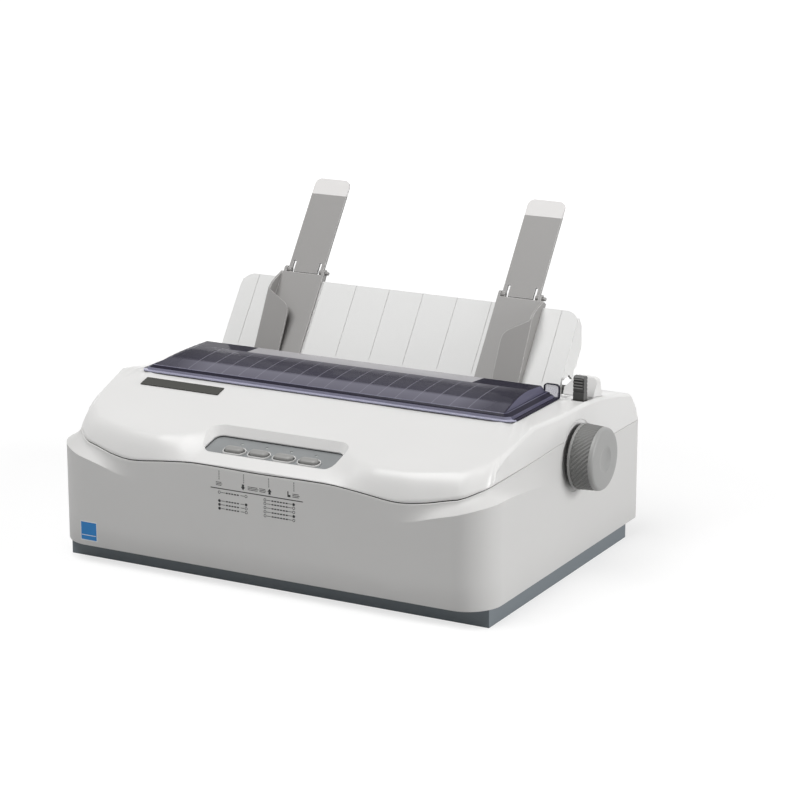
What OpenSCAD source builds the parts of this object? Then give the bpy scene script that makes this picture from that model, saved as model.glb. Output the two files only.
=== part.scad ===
// Desk-top dot matrix printer: moulded two-shell casing, hinged smoked cover, leaning paper support
// with sliding guides, platen with a side knob, tractor feed and a belt-driven print-head carriage.
// Origin: centre of the casing's footprint, on the surface that the printer stands on.
// +X towards the platen knob, +Y towards the rear, +Z up. Millimetres.

/* [Casing] */
// Width over the casing's two sides
casing_w = 400; // [390:2:420]
// Depth of the casing, front to rear
casing_d = 291; // [286:1:300]
// Plan radius of the front corners
corner_r = 30; // [24:1:36]
// Plan radius of the rear corners
rear_corner_r = 6; // [4:1:8]
// Wall thickness of the moulded shells
wall = 3; // [2.4:0.2:3.4]
// Height of the seam between the two shells at the front and the rear
seam_z = 102; // [101:0.5:103]
// Shadow gap between the two shells
seam_gap = 0.3; // [0.2:0.1:0.5]
// Width of the ledge that the upper shell stands back by at the front corners
ledge = 14; // [10:1:16]
// How far the seam dips on either side of the control panel
seam_dip = 7.5; // [5:0.5:8]
// How far the seam climbs along the sides, in front of the knob
side_climb = 17; // [12:1:18]
// Height of the flat part of the casing's top
top_z = 142; // [140:1:146]
// Fall of the front slope per millimetre
front_fall = 0.294; // [0.27:0.005:0.31]

/* [Base] */
// Height of the grey base pan's top edge above the surface
base_h = 15; // [13:1:18]
// How far the base pan stands back from the casing's sides
base_side_inset = 5; // [4:1:8]
// How far the base pan stands back from the casing's front
base_front_inset = 17; // [14:1:20]
// How far the base pan stands back from the casing's rear
base_rear_inset = 15; // [12:1:18]
// Wall and floor thickness of the base pan
pan_wall = 3; // [2.5:0.5:4]
// Radius of a rubber foot, set flush into the pan's underside
foot_r = 9; // [7:1:11]

/* [Smoked cover] */
// How far the cover's rim stands in from each side of the casing
cover_inset = 24; // [22:1:26]
// Front edge of the cover's rim
cover_front_y = -50.5; // [-52:0.5:-49]
// Rear edge of the cover
cover_rear_y = 33; // [32:0.5:34]
// Height of the dome above the flat of the casing's top
dome_h = 12.5; // [11:0.5:14]
// Thickness of the cover's sheet
cover_t = 2.2; // [2:0.1:2.6]

/* [Paper support] */
// Lean of the paper support back from upright, in degrees
support_lean = 35; // [33:1:37]
// Gap between each end of the support plate and the cheek beside it
support_end_gap = 4.5; // [4:0.5:8]
// Height of the support plate up its own slope
support_len = 70.5; // [66:0.5:76]
// Thickness of the support plate
support_t = 2.2; // [2:0.1:2.6]
// Depth of the stiffening cheek behind each end of the plate
cheek_depth = 18; // [14:1:20]
// Width of one paper guide
guide_w = 43; // [40:1:46]
// Distance from the middle of the printer to a guide's inner edge
guide_x = 86; // [80:1:90]
// Length of an extension flap
flap_len = 88; // [80:1:94]
// Width of an extension flap
flap_w = 35; // [33:1:36]

/* [Control panel] */
// Length of the control panel's floor
panel_w = 117; // [112:1:122]
// Depth of the control panel's floor, along its own slope
panel_d = 22.5; // [21:0.5:24]
// Slope of the control panel, in degrees
panel_tilt = 14.8; // [12:0.2:18]
// Distance between neighbouring buttons
button_pitch = 23; // [22:0.5:25]
// Length of one oval button
button_w = 18.5; // [17:0.5:20]
// Width of one oval button
button_d = 8; // [7:0.5:8.5]
// How far a button goes down
button_travel = 1.2; // [0.8:0.1:1.5]

/* [Paper feed] */
// Distance of the platen's axis behind the middle of the casing
platen_y = 18; // [16:0.5:20]
// Radius of the rubber platen
platen_r = 17; // [16:0.5:17.5]
// Gap between each end of the rubber platen and its side frame
platen_end_gap = 13; // [12:1:16]
// Radius of the platen's shaft
shaft_r = 4; // [3.5:0.1:4.5]
// Radius of the platen knob
knob_r = 26.5; // [24:0.5:28]
// How far the platen knob stands out of the casing's side
knob_out = 25; // [22:1:28]
// Number of grip ribs round the knob
knob_ribs = 36; // [24:4:44]
// Face width of the gears
gear_w = 5; // [4:0.5:6]

/* [Print head] */
// Room between a side frame's inner face and the casing's side, for the gears and the electrics
side_room = 52; // [51:1:54]
// Thickness of the steel side frames
frame_t = 2; // [1.5:0.5:2.5]
// Radius of the carriage's main rod
rod_r = 4; // [3.5:0.5:4.5]
// Radius of the belt pulleys
pulley_r = 8; // [7:0.5:9]
// How far the axis of a belt pulley stands in from its side frame
pulley_inset = 26; // [25:1:28]

/* [Clearances] */
// Radial running clearance between a shaft and its bore
run_gap = 0.05; // [0.03:0.01:0.08]
// Gap between neighbouring pieces that are seated on each other
seat_gap = 0.2; // [0.1:0.05:0.3]

/* [Hidden] */
$fn = 48;

shell_grey = [0.90, 0.90, 0.89];
guide_grey = [0.61, 0.60, 0.59];
base_grey = [0.42, 0.45, 0.48];
dark_grey = [0.24, 0.24, 0.24];
steel = [0.70, 0.71, 0.73];
black = [0.08, 0.08, 0.09];

half_w = casing_w / 2;
half_d = casing_d / 2;
platen_z = seam_z;
chassis_z = base_h + wall;
chassis_t = 2;
frame_z = chassis_z + chassis_t;
frame_half = half_w - side_room;
frame_out = frame_half + frame_t;
platen_half = frame_half - platen_end_gap;
cover_half_w = half_w - cover_inset;

// ---- helpers ----

// An outline given in Y and Z, drawn across X from x0 over a length
module across(x0, length) translate([x0, 0, 0]) rotate([90, 0, 90]) linear_extrude(length) children();

// A round bar along X
module bar_x(x0, x1, y, z, r) translate([x0, y, z]) rotate([0, 90, 0]) cylinder(r = r, h = x1 - x0);

// A plate in the XY plane with round corners
module round_plate(w, d, h, r) linear_extrude(h) round_outline(w, d, r);
module round_outline(w, d, r) {
    square([w - 2 * r, d], center = true);
    square([w, d - 2 * r], center = true);
    for (sx = [-1, 1], sy = [-1, 1]) translate([sx * (w / 2 - r), sy * (d / 2 - r)]) circle(r);
}

// Oval outline, long along X
module oval(w, d) {
    square([w - d, d], center = true);
    for (s = [-1, 1]) translate([s * (w - d) / 2, 0]) circle(d = d);
}

// A smooth curve through [position, value] pairs, level at its two ends
function slope_at(k, i) = (i == 0 || i == len(k) - 1) ? 0
    : (k[i + 1][1] - k[i - 1][1]) / (k[i + 1][0] - k[i - 1][0]);
function span_of(u, k, i = 0) = (i >= len(k) - 2 || u <= k[i + 1][0]) ? i : span_of(u, k, i + 1);
function smooth(u, k) =
    u <= k[0][0] ? k[0][1] : u >= k[len(k) - 1][0] ? k[len(k) - 1][1] :
    let (i = span_of(u, k), h = k[i + 1][0] - k[i][0], t = (u - k[i][0]) / h)
    (2 * t * t * t - 3 * t * t + 1) * k[i][1] + (t * t * t - 2 * t * t + t) * h * slope_at(k, i)
    + (3 * t * t - 2 * t * t * t) * k[i + 1][1] + (t * t * t - t * t) * h * slope_at(k, i + 1);

// A closed ring of equal sections, skinned with triangles
module skin_ring(sections) {
    n = len(sections);
    m = len(sections[0]);
    points = [for (s = sections, p = s) p];
    faces = [for (i = [0 : n - 1], j = [0 : m - 1])
        let (a = i * m + j, b = i * m + (j + 1) % m,
             c = ((i + 1) % n) * m + (j + 1) % m, d = ((i + 1) % n) * m + j)
        each [[a, b, c], [a, c, d]]];
    polyhedron(points = points, faces = faces, convexity = 8);
}

// ---- the casing's sculpted surfaces ----

// The casing's outline is walked by u: 0 to 1 front, to 2 front corner, to 3 side, to 4 rear
// corner, to 5 rear. The left half mirrors the right.
side_run = casing_d - corner_r - rear_corner_r;
function u_side(y) = 2 + (y + half_d - corner_r) / side_run;
function u_front(x) = x / (half_w - corner_r);
function walk_normal(u) =
    u < 1 ? [0, -1] : u < 2 ? [sin((u - 1) * 90), -cos((u - 1) * 90)] :
    u < 3 ? [1, 0] : u < 4 ? [cos((u - 3) * 90), sin((u - 3) * 90)] : [0, 1];
function walk_point(u) =
    u < 1 ? [u * (half_w - corner_r), -half_d] :
    u < 2 ? [half_w - corner_r, corner_r - half_d] + corner_r * walk_normal(u) :
    u < 3 ? [half_w, corner_r - half_d + (u - 2) * side_run] :
    u < 4 ? [half_w - rear_corner_r, half_d - rear_corner_r] + rear_corner_r * walk_normal(u) :
    [(5 - u) * (half_w - rear_corner_r), half_d];

// The seam steps down to the knob's height just behind the knob's front edge
step_y = platen_y - knob_r + 0.5;
step_len = 4;
crease_y = step_y + step_len;
seam_shape = [
    [0, 0], [u_front(58), 0], [u_front(90), -0.45 * seam_dip], [u_front(120), -seam_dip],
    [u_front(150), -0.55 * seam_dip], [1, 0.5], [1.5, 0.26 * side_climb], [2, 0.43 * side_climb],
    [u_side(-57), 0.7 * side_climb], [u_side(step_y), side_climb]
];
function seam_height(u) =
    u <= u_side(step_y) ? seam_z + smooth(u, seam_shape) :
    u >= u_side(crease_y) ? seam_z :
    seam_z + side_climb * (u_side(crease_y) - u) / (u_side(crease_y) - u_side(step_y));

// Ledge between the lower shell's wall and the foot of the upper shell, as a share of its width
ledge_shape = [
    [u_front(85), 0], [u_front(110), 0.12], [u_front(134), 0.32], [u_front(152), 0.62], [1, 0.95],
    [1.5, 1.12], [2, 0.92], [u_side(-60), 0.5], [u_side(crease_y), 0]
];
function ledge_at(u) = ledge * smooth(u, ledge_shape);

// Height of the soft shoulder where the lower wall turns in towards the ledge
shoulder_shape = [
    [u_front(85), -16], [u_front(110), -23], [u_front(134), -21], [u_front(155), -15], [1, -11],
    [1.5, -5], [2, -3], [u_side(-73), -6], [u_side(-34), -11], [u_side(crease_y), -16]
];
function shoulder_height(u) = seam_z + smooth(u, shoulder_shape);

// Height of the casing's top along its depth
slope_y = cover_front_y;
rear_edge_y = half_d - 19.5;
top_line = [
    [-half_d, top_z - front_fall * (half_d + slope_y)], [slope_y, top_z], [slope_y + 84, top_z],
    [64, top_z - 2.3], [100, top_z - 8], [rear_edge_y, top_z - 13.8], [half_d, seam_z + 2]
];
function top_height(y) = lookup(y, top_line);

// Top of the upper shell's upright wall, as a share of the way from the seam to the flat top, how
// wide the round above it is, and how hard that turns
edge_line = [
    [0, 0.025], [u_front(60), 0.025], [u_front(110), 0.0875], [u_front(150), 0.1125], [1, 0.15],
    [1.5, 0.1875], [u_side(-112), 0.2125], [u_side(-105), 0.475], [u_side(-95), 0.6125],
    [u_side(-79), 0.725], [u_side(-54), 0.9]
];
function edge_height(u, y) = u < u_side(-54) ? seam_z + (top_z - seam_z) * lookup(u, edge_line)
    : u < 3 ? top_height(y) - min(2.6, (half_d - y) / 6 + 1) : seam_z + 1;
round_line = [
    [0, 38], [u_front(60), 36], [u_front(80), 20], [u_front(100), 14], [u_front(150), 14], [1, 17],
    [1.5, 22], [2, 20], [u_side(-105), 13], [u_side(-95), 9], [u_side(-79), 5.5],
    [u_side(-54), 4.5], [3, 4], [4, 2.5]
];
turn_line = [
    [0, 1.9], [u_front(60), 1.9], [u_front(100), 3], [1, 2.8], [1.5, 2.6], [2, 2.3],
    [u_side(-95), 1.8], [5, 1.8]
];

// Opening in the casing's top, under the smoked cover and the paper support
opening_half_w = cover_half_w - 8;
opening_front_y = -42;
opening_rear_y = rear_edge_y - 2;
function opening_point(u) =
    let (p = walk_point(u))
    [p[0] * opening_half_w / half_w,
     (opening_front_y + opening_rear_y) / 2 + p[1] * (opening_rear_y - opening_front_y) / casing_d];

round_steps = [0, 0.12, 0.28, 0.5, 0.75, 1];
flat_steps = [0.35, 0.68, 1];
function lift(p, z) = [p[0], p[1], z];
function upper_section(u) =
    let (n = walk_normal(u),
         foot = walk_point(u) - n * ledge_at(u),
         opening = opening_point(u),
         zs = seam_height(u) + seam_gap / 2,
         ze = max(zs + 0.4, edge_height(u, foot[1])),
         run = norm(opening - foot),
         e = (opening - foot) / run,
         b = lookup(u, round_line),
         drop = top_height(foot[1]) - ze,
         turn = lookup(u, turn_line))
    concat(
        [lift(foot, zs)],
        [for (t = round_steps) let (p = foot + e * b * t)
            lift(p, top_height(p[1]) - drop * pow(1 - t, turn))],
        [for (t = flat_steps) let (p = foot + e * (b + (run - b) * t)) lift(p, top_height(p[1]))],
        [for (t = [1, 0.5, 0]) let (p = foot + e * (b + (run - b) * t)) lift(p, top_height(p[1]) - wall)],
        [for (t = [0.5, 0]) let (p = foot + e * (b * t + wall * (1 - t)))
            lift(p, top_height(p[1]) - drop * pow(1 - t, turn) - wall * (0.4 + 0.6 * t))],
        [lift(foot - n * wall, zs)]
    );

function lower_section(u) =
    let (n = walk_normal(u),
         p = walk_point(u),
         foot = p - n * ledge_at(u),
         zs = seam_height(u) - seam_gap / 2,
         zh = shoulder_height(u),
         rim = rim_point(u))
    [lift(p, base_h), lift(p, zh), lift(foot + (p - foot) * 0.12, zs - 0.6), lift(foot, zs),
     lift(foot - n * wall, zs), lift(p - n * wall, zh - wall), lift(p - n * wall, base_h + wall),
     lift(rim, base_h + wall), lift(rim, base_h)];

// Inner edge of the lower shell's bottom flange, which rests on the base pan
flange_w = 9;
function rim_point(u) =
    let (p = walk_point(u), x1 = half_w - base_side_inset - flange_w,
         y0 = base_front_inset + flange_w - half_d, y1 = half_d - base_rear_inset - flange_w)
    [p[0] * x1 / half_w, (y0 + y1) / 2 + p[1] * (y1 - y0) / casing_d];

half_walk = concat(
    [for (i = [0 : 13]) i / 14], [for (i = [0 : 7]) 1 + i / 8],
    [2, u_side(-112), u_side(-108.5), u_side(-105), u_side(-100), u_side(-95), u_side(-87),
     u_side(-79), u_side(-66), u_side(-54), u_side(-44), u_side(-30), u_side(-19), u_side(step_y),
     u_side(crease_y), u_side(8), u_side(30), u_side(47), u_side(64), u_side(82), u_side(100),
     u_side(114), u_side(rear_edge_y)],
    [3, 3.5, 4, 4.25, 4.5, 4.75, 5]
);
function mirrored(s) = [for (p = s) [-p[0], p[1], p[2]]];
function ring_of(sections) = concat(sections,
    [for (i = [len(sections) - 2 : -1 : 1]) mirrored(sections[i])]);

// Height of the casing's surface along the middle of its front
function nose_height(y) =
    let (t = min(1, (y + half_d) / round_line[0][1]))
    top_height(y) - (top_height(-half_d) - edge_height(0, -half_d)) * pow(1 - t, turn_line[0][1]);

// ---- control panel frame: its floor lies in the local XY plane ----
panel_front_y = 11 - half_d;
panel_sink = 1.22;
panel_front_z = nose_height(panel_front_y) - panel_sink;
panel_mid_y = panel_front_y + panel_d / 2 * cos(panel_tilt);
panel_mid_z = panel_front_z + panel_d / 2 * sin(panel_tilt);
flare_h = 12;
flare = 0.8;
floor_drop = 1.5;
well_front_y = panel_front_y - 6;
well_rear_y = panel_mid_y + panel_d / 2 + flare * flare_h + 2 * wall;
module on_panel() translate([0, panel_mid_y, panel_mid_z]) rotate([panel_tilt, 0, 0]) children();
module flared_well(grow, low) hull() {
    translate([0, 0, low]) round_plate(panel_w + 2 * grow, panel_d + 2 * grow, 0.1, 7, $fn = 32);
    translate([0, 0, flare_h]) round_plate(panel_w + 2 * (grow + flare * flare_h),
        panel_d + 2 * (grow + flare * flare_h), 0.1, 7 + flare * flare_h, $fn = 32);
}

// ---- hinge lines ----
cover_pin = [cover_rear_y, top_z - 4.5];
cover_pin_r = 2;
support_pin = [60, top_z - 9];
support_pin_r = 3;
cheek_t = 6;
// Tab at the cover's rear corner
tab_x1 = cover_half_w + 1.2;
tab_h = 11.8;
lever_pin = [42.5, 100];
lever_pin_r = 3;
lever_x = cover_half_w + 9.8;
lever_w = 9.5;
lever_gap = 1.2;
slot_front = 36.5;
slot_rear = 55;

// ---- casing ----

module upper_casing() color(shell_grey) difference() {
    union() {
        skin_ring(ring_of([for (u = half_walk) upper_section(u)]));
        // Well for the control panel, clipped to stay under the front slope
        intersection() {
            on_panel() flared_well(2.4, -floor_drop + seat_gap);
            across(-half_w / 2, half_w) polygon(concat(
                [for (i = [0 : 15]) let (y = well_front_y + (well_rear_y - well_front_y) * i / 15)
                    [y, nose_height(y) - wall / 2]],
                [[well_rear_y, seam_z], [well_front_y, seam_z]]));
        }
        // Hinge cheeks under the top, beside the opening, low where the cover's tab swings
        for (s = [0, 1]) mirror([s, 0, 0]) across(opening_half_w, cheek_t) union() {
            translate(cover_pin) circle(cover_pin_r + 2.8);
            translate(support_pin) circle(support_pin_r + 3.5);
            polygon([
                [cover_pin[0] - 12, support_pin[1] - 9], [support_pin[0] + 7, support_pin[1] - 9],
                [support_pin[0] + 7, top_height(support_pin[0] + 7) - 1],
                [support_pin[0] - 5, top_height(support_pin[0] - 5) - 1],
                [support_pin[0] - 6, cover_pin[1] - 0.5], [cover_pin[0], cover_pin[1] - 0.5],
                [cover_pin[0] - 4, top_z - 1], [cover_pin[0] - 12, top_z - 1]]);
        }
        // Ear that carries the release lever's pin
        across(lever_x - 7.6, 5.2) polygon([
            [lever_pin[0] - 7, lever_pin[1] - 7], [lever_pin[0] + 7, lever_pin[1] - 7],
            [lever_pin[0] + 7, top_height(lever_pin[0] + 7) - 1], [lever_pin[0] - 7, top_z - 1.6]]);
    }
    on_panel() flared_well(0, 0);
    on_panel() translate([0, 0, -10]) round_plate(panel_w, panel_d, 12, 7);
    // Seat for the panel's plate, from below
    on_panel() translate([0, 0, -10])
        round_plate(panel_w + 4.6, panel_d + 4.2, 10 - floor_drop + seat_gap, 8);
    // Slot for the release lever
    translate([lever_x - lever_gap, slot_front, top_z - 9])
        cube([lever_w + 2 * lever_gap, slot_rear - slot_front, 14]);
    for (s = [0, 1]) mirror([s, 0, 0]) {
        bar_x(opening_half_w - 3, opening_half_w + cheek_t + 3, cover_pin[0], cover_pin[1],
            cover_pin_r + run_gap);
        bar_x(opening_half_w - 3, opening_half_w + cheek_t + 3, support_pin[0], support_pin[1],
            support_pin_r + run_gap);
    }
    swing_notch(tab_x1, tab_h + 7);
    mirror([1, 0, 0]) swing_notch(cover_half_w, rim_swing);
    bar_x(lever_x - 12, lever_x - 2, lever_pin[0], lever_pin[1], lever_pin_r + run_gap);
    knob_opening();
}

// Notch in the top that a rear corner of the cover swings into, with the rim alone or with its tab
rim_swing = 12;
module swing_notch(out_x, reach) across(opening_half_w - 1, out_x - opening_half_w + 1.4) difference() {
    translate(cover_pin + [-1, 1.2]) square([reach, 8]);
    translate(cover_pin) circle(cover_pin_r + 3.2);
}

// Round clearance for the knob's sleeve, shared by both shells, with a shallow dish behind the knob
sleeve_r = 8;
dish_gap = 3;
module knob_opening() {
    bar_x(half_w - 12, half_w + 2, platen_y, platen_z, sleeve_r + 1.5);
    bar_x(half_w - 1.2, half_w + 2, platen_y, platen_z, knob_r + dish_gap);
}

inlet_x = -135;
inlet_z = 42;
switch_x = -92;
port_x = 86;
port_z = 46;
usb_x = 136;
vent_z = 34;
module lower_casing() color(shell_grey) difference() {
    union() {
        skin_ring(ring_of([for (u = half_walk) lower_section(u)]));
        // Lugs for the screws into the base pan
        for (p = screw_places) translate([p[0] < 0 ? -half_w + 2 : p[0] - 7, p[1] - 6, base_h])
            cube([half_w - 2 - abs(p[0]) + 7, 12, wall]);
    }
    for (p = screw_places) translate([p[0], p[1], base_h - 1]) cylinder(r = 1.85, h = wall + 2);
    knob_opening();
    rear_cut(inlet_x, inlet_z, 28, 20);
    rear_cut(switch_x, inlet_z, 20, 14);
    rear_cut(port_x, port_z, 52, 14);
    rear_cut(usb_x, port_z, 13, 12);
    // Cooling slots low in the left side
    for (i = [0 : 9]) translate([-half_w - 1, -20 + 9 * i, vent_z]) cube([wall + 2, 4, 26]);
}
module rear_cut(x, z, w, h)
    translate([x - w / 2 - seat_gap, half_d - wall - 1, z - h / 2 - seat_gap])
    cube([w + 2 * seat_gap, wall + 2, h + 2 * seat_gap]);

pan_half_w = half_w - base_side_inset;
pan_front = base_front_inset - half_d;
pan_rear = half_d - base_rear_inset;
foot_places = [for (x = [-1, 1], y = [-1, 1]) [x * (pan_half_w - 25), y * (half_d - 36)]];
post_places = [for (x = [-1, 1], y = [-60, 85]) [x * (frame_half - 18), y]];
screw_places = [for (x = [-1, 1], y = [-100, 100]) [x * (pan_half_w - 7), y]];
foot_t = 2;
module pan_block(inset, z0, z1)
    translate([-pan_half_w + inset, pan_front + inset, z0])
    cube([2 * (pan_half_w - inset), pan_rear - pan_front - 2 * inset, z1 - z0]);
module base_pan() color(base_grey) difference() {
    union() {
        difference() {
            pan_block(0, 0, base_h);
            pan_block(pan_wall, pan_wall, base_h + 1);
        }
        for (p = post_places) translate([p[0], p[1], 1]) cylinder(r = 5, h = chassis_z - 1);
        for (p = screw_places) translate([p[0], p[1], 1]) cylinder(r = 5.5, h = base_h - 1);
    }
    for (p = screw_places) translate([p[0], p[1], base_h - 9]) cylinder(r = 1.85, h = 20);
    for (p = foot_places) translate([p[0], p[1], -1]) cylinder(r = foot_r + seat_gap, h = foot_t + 1);
}
module rubber_feet() color(black)
    for (p = foot_places) translate([p[0], p[1], 0]) cylinder(r = foot_r, h = foot_t - 0.1);

// White block behind the release lever
guard_x0 = opening_half_w + 1;
guard_x1 = half_w - 3.5;
guard_front = 55.5;
guard_rear = 72;
guard_top = top_z + 13.5;
guard_r = 4;
guard_gap = 0.28;
module lever_guard() color(shell_grey) intersection() {
    across(guard_x0, guard_x1 - guard_x0) polygon([
        [guard_front, top_height(guard_front) + guard_gap], [64, top_height(64) + guard_gap],
        [guard_rear, top_height(guard_rear) + guard_gap], [guard_rear - 4, guard_top],
        [guard_front + 7.5, guard_top]]);
    translate([0, guard_rear + 8, 0]) rotate([90, 0, 0]) linear_extrude(30) union() {
        polygon([[guard_x0 - 1, top_z - 12], [guard_x1, top_z - 12], [guard_x1, guard_top - guard_r],
            [guard_x1 - guard_r, guard_top], [guard_x0 + 9, guard_top], [guard_x0 - 1, top_z + 3]]);
        translate([guard_x1 - guard_r, guard_top - guard_r]) circle(guard_r);
    }
}

// Blank badge plate on the front slope
badge_x = 76 - half_w;
badge_y = slope_y - 14.2;
badge_w = 76;
badge_d = 11.2;
module badge_plate() color([0.23, 0.23, 0.20])
    translate([badge_x, badge_y, top_height(badge_y) + 0.1]) rotate([atan(front_fall), 0, 0])
    linear_extrude(0.8) square([badge_w, badge_d], center = true);

// ---- control panel ----

button_xs = [for (i = [-1.5 : 1 : 1.5]) i * button_pitch + 2];
button_y = -3.2;
lamp_y = 5.6;
plate_t = 2;
button_gap = 0.35;
module control_panel() color([0.58, 0.61, 0.63]) on_panel() difference() {
    translate([0, 0, -floor_drop - plate_t]) round_plate(panel_w + 4, panel_d + 3.6, plate_t, 8);
    for (x = button_xs) {
        translate([x, button_y, -8]) linear_extrude(10)
            oval(button_w + 2 * button_gap, button_d + 2 * button_gap);
        translate([x, lamp_y, -8]) cylinder(r = 1.25, h = 10);
    }
}
module panel_lamps() color([0.35, 0.75, 0.35]) on_panel()
    for (x = button_xs) translate([x, lamp_y, -board_drop]) {
        cylinder(r = 1.1, h = board_drop - floor_drop + 0.3);
        cylinder(r = 1.7, h = 1.5);
    }
board_drop = 9;
board_t = 1.6;
module panel_board() color([0.10, 0.35, 0.20]) on_panel() {
    translate([0, 0, -board_drop - board_t]) round_plate(panel_w - 6, panel_d - 1, board_t, 1);
    for (x = button_xs) translate([x - 3, button_y - 3, -board_drop - 0.1])
        cube([6, 6, switch_h + 0.1]);
    // Standoffs up to the panel
    for (s = [-1, 1]) translate([s * (panel_w / 2 - 7), 0, -board_drop - 0.1])
        cylinder(r = 2.4, h = board_drop - floor_drop - plate_t - 0.1);
}
switch_h = 2.6;
button_low = -board_drop + switch_h + button_travel + 0.2;
module button(i) color(guide_grey) on_panel() translate([button_xs[i], button_y, 0]) {
    translate([0, 0, button_low]) linear_extrude(1.6 - button_low) oval(button_w, button_d);
    translate([0, 0, 1.5]) linear_extrude(0.8) oval(button_w - 1.6, button_d - 1.6);
}
module pause_button() button(0);
module feed_button() button(1);
module load_button() button(2);
module tear_button() button(3);

// ---- smoked cover ----

rim_z = top_z + 0.2;
rim_h = 5.5;
rim_w = 6.5;
lip_h = 1.2;
cover_corner_r = 9;
tab_w = 14;
tab_t = 2.2;
dome_half_w = cover_half_w - 6;
ridge_y = 14;
rim_rear_y = cover_rear_y - 6;
function dome_line(grow, low) = concat(
    [[cover_front_y + rim_w + grow, low], [cover_front_y + rim_w + grow, rim_z + rim_h - 1]],
    [for (i = [0 : 6]) let (t = i / 6)
        [cover_front_y + rim_w + grow + (ridge_y - cover_front_y - rim_w - grow) * t,
         rim_z + rim_h - 1 + (dome_h - rim_h + 1 - grow) * (1 - pow(1 - t, 2.4))]],
    [[cover_rear_y - grow, rim_z + rim_h + 1.6 - grow], [cover_rear_y - grow, low]]);
module dome(grow, low) intersection() {
    across(-dome_half_w + grow, 2 * (dome_half_w - grow)) polygon(dome_line(grow, low));
    translate([0, cover_rear_y + 20, 0]) rotate([90, 0, 0]) linear_extrude(120) polygon([
        [-dome_half_w + grow, low], [-dome_half_w + grow, rim_z + 2 - grow],
        [-dome_half_w + 9 + grow, rim_z + dome_h - grow], [dome_half_w - 9 - grow, rim_z + dome_h - grow],
        [dome_half_w - grow, rim_z + 2 - grow], [dome_half_w - grow, low]]);
}
module smoked_cover() color([0.38, 0.37, 0.48, 0.55]) difference() {
    union() {
        // Bevelled rim that lies on the casing
        intersection() {
            across(-cover_half_w, 2 * cover_half_w) polygon([
                [cover_front_y, rim_z], [cover_front_y, rim_z + lip_h],
                [cover_front_y + rim_w, rim_z + rim_h], [cover_rear_y - 1, rim_z + rim_h],
                [cover_rear_y, rim_z + 2], [cover_rear_y, rim_z]]);
            translate([0, cover_rear_y + 20, 0]) rotate([90, 0, 0]) linear_extrude(120) polygon([
                [-cover_half_w, rim_z], [-cover_half_w, rim_z + lip_h],
                [-cover_half_w + rim_w, rim_z + rim_h], [cover_half_w - rim_w, rim_z + rim_h],
                [cover_half_w, rim_z + lip_h], [cover_half_w, rim_z]]);
            // Round front corners
            translate([0, cover_front_y + half_d, top_z])
                round_plate(2 * cover_half_w, casing_d, 20, cover_corner_r);
        }
        dome(0, rim_z);
        for (s = [0, 1]) mirror([s, 0, 0]) {
            // Hinge ear inside the opening
            across(opening_half_w - 6.2, 6) union() {
                translate(cover_pin) circle(3.4);
                polygon([[cover_pin[0] - 3.4, cover_pin[1]], [cover_pin[0] + 3.4, cover_pin[1]],
                    [cover_pin[0] + 0.2, rim_z + 8], [cover_pin[0] - 3.4, rim_z + 8]]);
            }
            bar_x(opening_half_w - 1, opening_half_w + cheek_t - 1, cover_pin[0], cover_pin[1], cover_pin_r);
        }
        // Finger tab at the right-hand corner
        translate([tab_x1 - tab_w, cover_rear_y, rim_z + 0.8]) rotate([90, 0, 0]) linear_extrude(tab_t) union() {
            square([tab_w, tab_h - 3]);
            translate([3, 0]) square([tab_w - 6, tab_h]);
            for (x = [3, tab_w - 3]) translate([x, tab_h - 3]) circle(3);
        }
    }
    // Hollow underneath
    difference() {
        dome(cover_t, rim_z - 1);
        for (s = [-1, 1]) translate([s * (opening_half_w - 3.2) - 3.2, cover_rear_y - 6, 0])
            cube([6.4, 12, 300]);
    }
    // The rim stops short beside the hinges, to clear the casing as the cover swings
    for (s = [0, 1]) mirror([s, 0, 0])
        translate([opening_half_w - 0.1, rim_rear_y, 0]) cube([30, 20, rim_z + 0.8]);
}

// ---- paper support frame: plate's front face in the local XZ plane, Z up the slope ----
support_foot = [59, top_z];
plate_low = -6;
module on_support() translate([0, support_foot[0], support_foot[1]])
    rotate([-support_lean, 0, 0]) children();
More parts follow.
